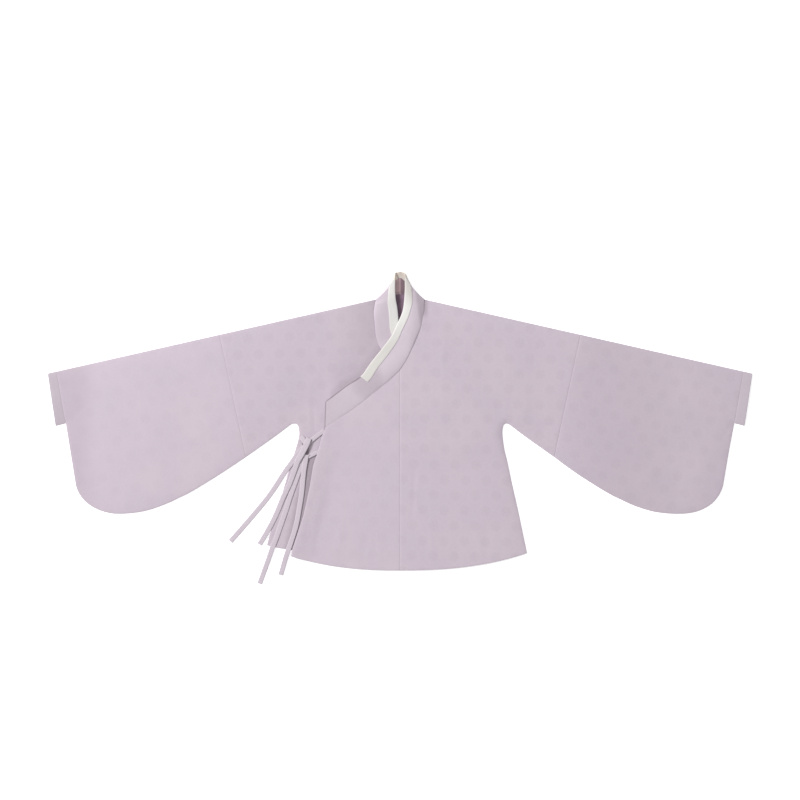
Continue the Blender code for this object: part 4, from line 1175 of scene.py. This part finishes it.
def sew_flaps():
    foot = OVERLAP_EDGE[-1]
    hem = flipped(hem_line(-1.0, 0.0, (-foot[0], foot[1])))
    rows = collar_seam(OVER_COLLAR, lambda x: OVERLAP_EDGE[0][0] + 0.003 < x < -0.002)
    flap("flap_outer", flap_cloth, "body_left_cloth", hem, curve(OVERLAP_EDGE[::-1]), rows, -1.0, over_level)
    hem = curve(INNER_FLAP_HEM)
    edge = line(tuple(hem[-1]), INNER_FLAP_TOP)
    rows = collar_seam(UNDER_COLLAR, lambda x: 0.002 < x < INNER_FLAP_TOP[0] - 0.006)[::-1]
    flap("flap_inner", body_left_cloth, "body_right_cloth", hem, edge, rows, 1.0, inner_level)


def tube(node, cloth, flip, foot, end_kind, outer_x, inner_x):
    """A closed length of sleeve: its foot runs outwards, its top folds at the shoulder line."""
    top = line((outer_x, shoulder_y(outer_x)), (inner_x + SEAM, shoulder_y(inner_x)))
    end, start = line(tuple(foot[-1]), tuple(top[0])), line(tuple(top[-1]), tuple(foot[0]))
    cut = Cut(flip, ("fold", foot), (end_kind, end), ("fold", top), ("seam", start))
    panel(node, cloth, ["floor"], cut, cut)


def sew_sleeve(side, flip, cloth, cuff_cloth):
    foot = curve(LEFT_SLEEVE_EDGE if flip else RIGHT_SLEEVE_EDGE)[::-1]
    foot[0] = SLEEVE_SEAM_FOOT[0] + SEAM, SLEEVE_SEAM_FOOT[1]
    tube(f"sleeve_{side}", cloth, flip, foot, "seam", CUFF_SEAM_X, SLEEVE_SEAM_TOP_X)
    foot = line((CUFF_SEAM_FOOT[0] + SEAM, CUFF_SEAM_FOOT[1]), CUFF_FOOT)
    tube(f"cuff_{side}", cuff_cloth, flip, foot, "hem", CUFF_TOP_X, CUFF_SEAM_X)


# Collar, guard and ties


def neck_turn(side, crown, steps=20):
    """Rows of the collar rolling from the front, over the side of the neck, to the back."""
    seam, free = np.array(NECK_FOLD_SEAM), np.array(NECK_FOLD_FREE)
    along = (free - seam) / np.linalg.norm(free - seam)
    out = np.array((along[1], -along[0]))
    rows = []
    for k in range(steps + 1):
        turn = math.pi * k / steps
        slide = 2.0 * k / steps - 1.0
        a = seam + out * NECK_ROLL_SEAM * math.sin(turn) + along * NECK_SLIDE_SEAM * slide
        b = free + out * NECK_ROLL_FREE * math.sin(turn) + along * NECK_SLIDE_FREE * slide
        seam_z = BACK_COLLAR[0][4] + NECK_ROLL_SEAM * (1.0 + math.cos(turn))
        free_z = BACK_COLLAR[0][5] + NECK_ROLL_FREE * (1.0 + math.cos(turn))
        arch = crown * NECK_CROWN * max(math.cos(turn), 0.0) ** 2
        rows.append((side * a[0], a[1], side * b[0], b[1], seam_z, free_z, arch))
    return np.array(rows)


def collar_rows():
    """Rows of both fronts and the back, with the seam's height corrected at the neck and on the chest."""
    back = [*BACK_COLLAR, *((-r[0], r[1], -r[2], *r[3:]) for r in BACK_COLLAR[-2::-1])]
    over, under = smooth_rows(OVER_COLLAR, COLLAR_STEPS), smooth_rows(UNDER_COLLAR, COLLAR_STEPS)
    right, left = neck_turn(1.0, OVER_COLLAR[-1][6]), neck_turn(-1.0, UNDER_COLLAR[0][6])[::-1]
    y = over[:, 1]
    over[:, 4] += NECK_LIFT * rise(*BESIDE_THE_NECK, y) - NECK_SINK * rise(0.290, 0.322, y)
    over[:, 4] -= CHEST_SINK * ((0.3 + 0.7 * rise(0.03, 0.13, y)) * (1.0 - rise(0.19, 0.25, y)))
    turn = np.linspace(0.0, math.pi, len(right))
    right[:, 4] += (NECK_LIFT - NECK_SINK) * np.clip(np.cos(turn), 0.0, 1.0)
    return np.concatenate([over, right, smooth_rows(back, 5), left, under])


def across_row(row, shares):
    """Points of one row from the seam to the free edge, crowned, and waisted beside the neck."""
    seam, free = Vector((row[0], row[1], row[4])), Vector((row[2], row[3], row[5]))
    ruling = (free - seam).normalized()
    waist = NECK_WAIST * rise(0.30, 0.36, row[3]) * rise(0.0, 0.05, abs(row[0]))
    bow = Vector((-ruling.y, ruling.x, 0.0)) * math.copysign(waist, row[0])
    crown = Vector((0.0, 0.0, row[6]))
    skew = CROWN_SKEW + NECK_CROWN_SKEW * rise(0.25, 0.31, row[3]) * rise(0.0, 0.03, row[0])
    points = []
    for w in shares:
        arch = crown * 4.0 * w**skew * (1.0 - w**skew)
        points.append(seam.lerp(free, w) + bow * 4.0 * w * (1.0 - w) + arch)
    return points


def normals_of(grid):
    out = []
    for i, row in enumerate(grid):
        before, after = grid[max(i - 1, 0)], grid[min(i + 1, len(grid) - 1)]
        around = zip(before, after, [row[0], *row[:-1]], [*row[1:], row[-1]])
        out.append([(b - a).cross(right - left).normalized() for a, b, left, right in around])
    return out


def strip(piece, rings, across, along, slots):
    """A closed band skinned over rings of points; across and along are the cloth's own measures."""
    made = [[piece.mesh.verts.new(p) for p in ring] for ring in rings]
    count = len(made[0])
    for i, (a, b) in enumerate(zip(made, made[1:])):
        for k in range(count):
            j = (k + 1) % count
            u0, u1 = across[k], across[j] if j else across[0]
            cloth = (u0, along[i]), (u1, along[i]), (u1, along[i + 1]), (u0, along[i + 1])
            piece.face((a[k], a[j], b[j], b[k]), slots[k], cloth)
    for end in (made[0], made[-1]):
        for k in range(count // 2 - 1):
            piece.face((end[k], end[k + 1], end[count - 2 - k], end[count - 1 - k]))


def distances(points):
    out = [0.0]
    for a, b in zip(points, points[1:]):
        out.append(out[-1] + (Vector(b) - Vector(a)).length)
    return out


def sew_collar(rows):
    grid = []
    for row in rows:
        from_seam = 0.5 * SEAM / COLLAR_WIDTH * rise(*UP_THE_NECK, row[1])
        grid.append(across_row(row, (from_seam, *COLLAR_SHARES[1:])))
    half, count = 0.5 * BAND_CLOTH, len(COLLAR_SHARES)
    dips = [*SEAM_DIPS, *[0.0] * (count - 4), FREE_EDGE_DIP]
    along = distances([row[6] for row in grid])
    rings = []
    for i, (points, normals) in enumerate(zip(grid, normals_of(grid))):
        wave = COLLAR_PUFF * noise.noise(Vector((along[i] * 23.0, 2.0, 0.0)))
        puff = [wave * math.sin(math.pi * w) * math.sin(9.0 * w + along[i] * 31.0) for w in COLLAR_SHARES]
        seamed = 0.35 + 0.65 * rise(*UP_THE_NECK, rows[i][1])
        lifts = [half - BAND_CLOTH * DIP_SHARE * dip * seamed + q for dip, q in zip(dips, puff)]
        top = [p + n * lift for p, n, lift in zip(points, normals, lifts)]
        foot = [p - n * (half - q) for p, n, q in zip(points, normals, puff)]
        rings.append(top + foot[::-1])
    across = [COLLAR_WIDTH * w for w in (*COLLAR_SHARES, *COLLAR_SHARES[::-1])]
    piece = Piece("collar")
    strip(piece, rings, across, along, [0] * count + [1] * (count - 1) + [0])
    length, finishes = along[-1], (collar_cloth, collar_inside)
    rests_on = ["body_right_cloth", "body_left_cloth", "floor"]
    flat, area = (COLLAR_FLAT_WIDTH, length), COLLAR_WIDTH * length
    piece.finish(finishes, "plain_lilac", flat, "folded", rests_on, area)


def guard_row(row, before, after):
    """Points of the guard from its outer edge to the foot of its inside, then to the collar's free edge."""
    run = Vector((after[2] - before[2], after[3] - before[3], after[5] - before[5])).normalized()
    ruling = Vector((row[2] - row[0], row[3] - row[1], row[5] - row[4]))
    width = max((ruling - run * ruling.dot(run)).length, LEAST_COLLAR_WIDTH)
    over = rise(-0.03, 0.03, row[0] - row[2])
    over_width, under_width = (np.interp(row[3], *zip(*table)) for table in (GUARD_OVER, GUARD_UNDER))
    wide = over * over_width + (1.0 - over) * under_width
    start, foot = 1.0 - wide / width, 1.0 - GUARD_INNER / width
    shares = [start + (foot - start) * k / GUARD_FOOT for k in range(GUARD_FOOT)]
    shares += [foot + (1.0 - foot) * k / 5 for k in range(6)]
    return across_row(row, shares)


def cut_back(grid):
    """The guard's lower end drawn up and squared off, most at its outer edge."""
    along = distances([points[-1] for points in grid])
    run = (grid[3][-1] - grid[0][-1]).normalized()
    for i, place in enumerate(along):
        drawn, wide = run * max(1.0 - place / GUARD_CUT_REACH, 0.0) ** 2, (grid[i][0] - grid[i][-1]).length
        grid[i] = [
            p + drawn * (GUARD_CUT + GUARD_CUT_SLANT * (p - grid[i][-1]).length / wide) for p in grid[i]
        ]


def sew_guard(rows):
    rows = rows[np.abs(rows[:, 2]) < GUARD_REACH]
    inner = 0.5 * BAND_CLOTH + GUARD_GAP
    outer = inner + GUARD_CLOTH
    last = len(rows) - 1
    grid = [guard_row(row, rows[max(i - 1, 0)], rows[min(i + 1, last)]) for i, row in enumerate(rows)]
    cut_back(grid)
    along = distances([points[-1] for points in grid])
    rings = []
    for i, (points, normals) in enumerate(zip(grid, normals_of(grid))):
        edge = (points[-1] - points[-2]).normalized()
        puff = GUARD_PUFF * noise.noise(Vector((along[i] * 40.0, 7.0, 0.0)))
        lifts = [outer + puff * math.sin(1.3 * k) for k in range(len(points))]
        lifts[0] = outer - GUARD_EDGE_DIP
        top_out = [p + m * lift for p, m, lift in zip(points, normals, lifts)]
        top_in = [p + m * inner for p, m in zip(points, normals)]
        low = list(zip(points, normals))[GUARD_FOOT:]
        skins = []
        for top, size, (past, reach) in (top_out, outer, GUARD_FOLD_OUT), (top_in, inner, GUARD_FOLD_IN):
            turn = [
                points[-1] + normals[-1] * size * math.cos(t) + edge * (past + size * reach * math.sin(t))
                for t in GUARD_TURN
            ]
            skins.append(top + turn + [p - m * size for p, m in low][::-1])
        rings.append(skins[0] + skins[1][::-1])
    half = len(rings[0]) // 2
    widths = distances(rings[len(rings) // 2][:half])
    scale = (GUARD_OUTER + GUARD_INNER) / widths[-1]
    across = [w * scale for w in (*widths, *widths[::-1])]
    piece = Piece("collar_guard")
    strip(piece, rings, across, along, [0] * len(across))
    length = along[-1]
    flat, area = (GUARD_FLAT_WIDTH, length), GUARD_WIDTH * length
    piece.finish((guard_cloth,), "guard_white", flat, "folded", ["collar_cloth"], area)


def mirrored(half, middle):
    return [*half, middle, *((-across, up) for across, up in half[::-1])]


# Section of a tie: share of the half width, share of the cloth's thickness
TAPE_TOP = mirrored(((-1.0, 0.45), (-0.96, 0.85), (-0.80, 1.0), (-0.4, 1.06)), (0.0, 1.03))
TAPE_SECTION = TAPE_TOP + mirrored(((0.97, 0.12), (0.80, 0.0), (0.4, 0.0)), (0.0, 0.0))


def tape(piece, rows, start=0.0, head=False):
    """A flat tie with soft edges along rows of x, y, height of its underside and width."""
    rows = smooth_rows([(*row, TIE_WIDTH)[:4] for row in rows], 8)
    rings = []
    for i, (x, y, z, width) in enumerate(rows):
        a, b = rows[max(i - 1, 0)], rows[min(i + 1, len(rows) - 1)]
        run = Vector((b[0] - a[0], b[1] - a[1], 0.0)).normalized()
        into = min(math.hypot(x - rows[0][0], y - rows[0][1]) / HEAD_ROUND, 1.0) if head else 1.0
        folded = math.sqrt(1.0 - (1.0 - into) ** 2)
        side = Vector((run.y, -run.x, 0.0)) * (0.5 * width * (0.72 + 0.28 * folded))
        centre = Vector((x, y, max(z, 0.0) - HEAD_DROP * (1.0 - folded)))
        rings.append([centre + side * s + Vector((0.0, 0.0, TIE_CLOTH * h)) for s, h in TAPE_SECTION])
    across = [0.5 * TIE_WIDTH * (1.0 + s) for s, _ in TAPE_SECTION]
    along = [start + d for d in distances([ring[4] for ring in rings])]
    strip(piece, rings, across, along, [0] * len(across))
    return along[-1]


def sew_ties():
    for name, strap, tail, rests_on in (
        ("tie_upper_outer", UPPER_OUTER_STRAP, UPPER_OUTER_TAIL, ["flap_outer_cloth", "body_left_cloth"]),
        ("tie_upper_inner", UPPER_INNER_STRAP, UPPER_INNER_TAIL, ["body_left_cloth", "floor"]),
        ("tie_lower_outer", LOWER_OUTER_STRAP, LOWER_OUTER_TAIL, ["body_left_cloth", "floor"]),
        ("tie_lower_inner", (), LOWER_INNER_TAIL, ["body_left_cloth", "floor"]),
    ):
        piece = Piece(name)
        length = tape(piece, strap) if strap else 0.0
        length = tape(piece, tail, length, bool(strap) and "outer" in name)
        piece.finish((tie_cloth,), "plain_lilac", (TIE_WIDTH, length), "folded", rests_on, None)


# Floor, light and camera


FLOOR_SIZE, FLOOR_Z = 14.0, -0.0003

# Lights: name, place, size, power in watts
LIGHTS = (
    ("window_left", (-6.0, 3.2, 5.0), 1.9, 688.0),
    ("fill_above", (0.3, 0.2, 5.2), 4.5, 42.0),
)
LIT_PLACE = (0.0, 0.05, 0.0)
WHITE_LIGHT = (1.0, 1.0, 1.0, 1.0)
WORLD_LIGHT, FLOOR_GLOW = 0.375, 0.50
CAMERA_HEIGHT, VIEW_WIDTH, VIEW_CENTRE_Y = 8.0, 2.04, 0.0727


def studio():
    bpy.ops.mesh.primitive_plane_add(size=FLOOR_SIZE, location=(0.0, 0.0, FLOOR_Z))
    floor = bpy.context.object
    floor.name = "floor"
    paint = bpy.data.materials.new("floor_white")
    paint.use_nodes = True
    sockets = paint.node_tree.nodes["Principled BSDF"].inputs
    for socket, value in (
        ("Base Color", (0.93, 0.93, 0.93, 1.0)),
        ("Roughness", 0.95),
        ("Specular IOR Level", 0.1),
        ("Emission Color", WHITE_LIGHT),
        ("Emission Strength", FLOOR_GLOW),
    ):
        sockets[socket].default_value = value
    floor.data.materials.append(paint)

    scene = bpy.context.scene
    scene.world = bpy.data.worlds.new("studio")
    scene.world.use_nodes = True
    background = scene.world.node_tree.nodes["Background"]
    background.inputs["Color"].default_value = WHITE_LIGHT
    background.inputs["Strength"].default_value = WORLD_LIGHT
    for name, place, size, power in LIGHTS:
        data = bpy.data.lights.new(name, "AREA")
        data.shape, data.size, data.energy = "SQUARE", size, power
        lamp = bpy.data.objects.new(name, data)
        lamp.location = place
        lamp.rotation_euler = (Vector(LIT_PLACE) - Vector(place)).to_track_quat("-Z", "Y").to_euler()
        scene.collection.objects.link(lamp)
    scene.view_settings.view_transform = "Standard"
    scene.view_settings.look = "None"

    data = bpy.data.cameras.new("camera")
    data.sensor_width = 36.0
    data.lens = data.sensor_width * CAMERA_HEIGHT / VIEW_WIDTH
    data.clip_end = 60.0
    camera = bpy.data.objects.new("camera", data)
    camera.location = (0.0, VIEW_CENTRE_Y, CAMERA_HEIGHT)
    scene.collection.objects.link(camera)
    scene.camera = camera


for thing in list(bpy.context.selected_objects):
    thing.select_set(False)
studio()
sew_bodies()
sew_flaps()
sew_sleeve("right", False, sleeve_right_cloth, cuff_right_cloth)
sew_sleeve("left", True, sleeve_left_cloth, cuff_left_cloth)
collar = collar_rows()
sew_collar(collar)
sew_guard(collar)
sew_ties()
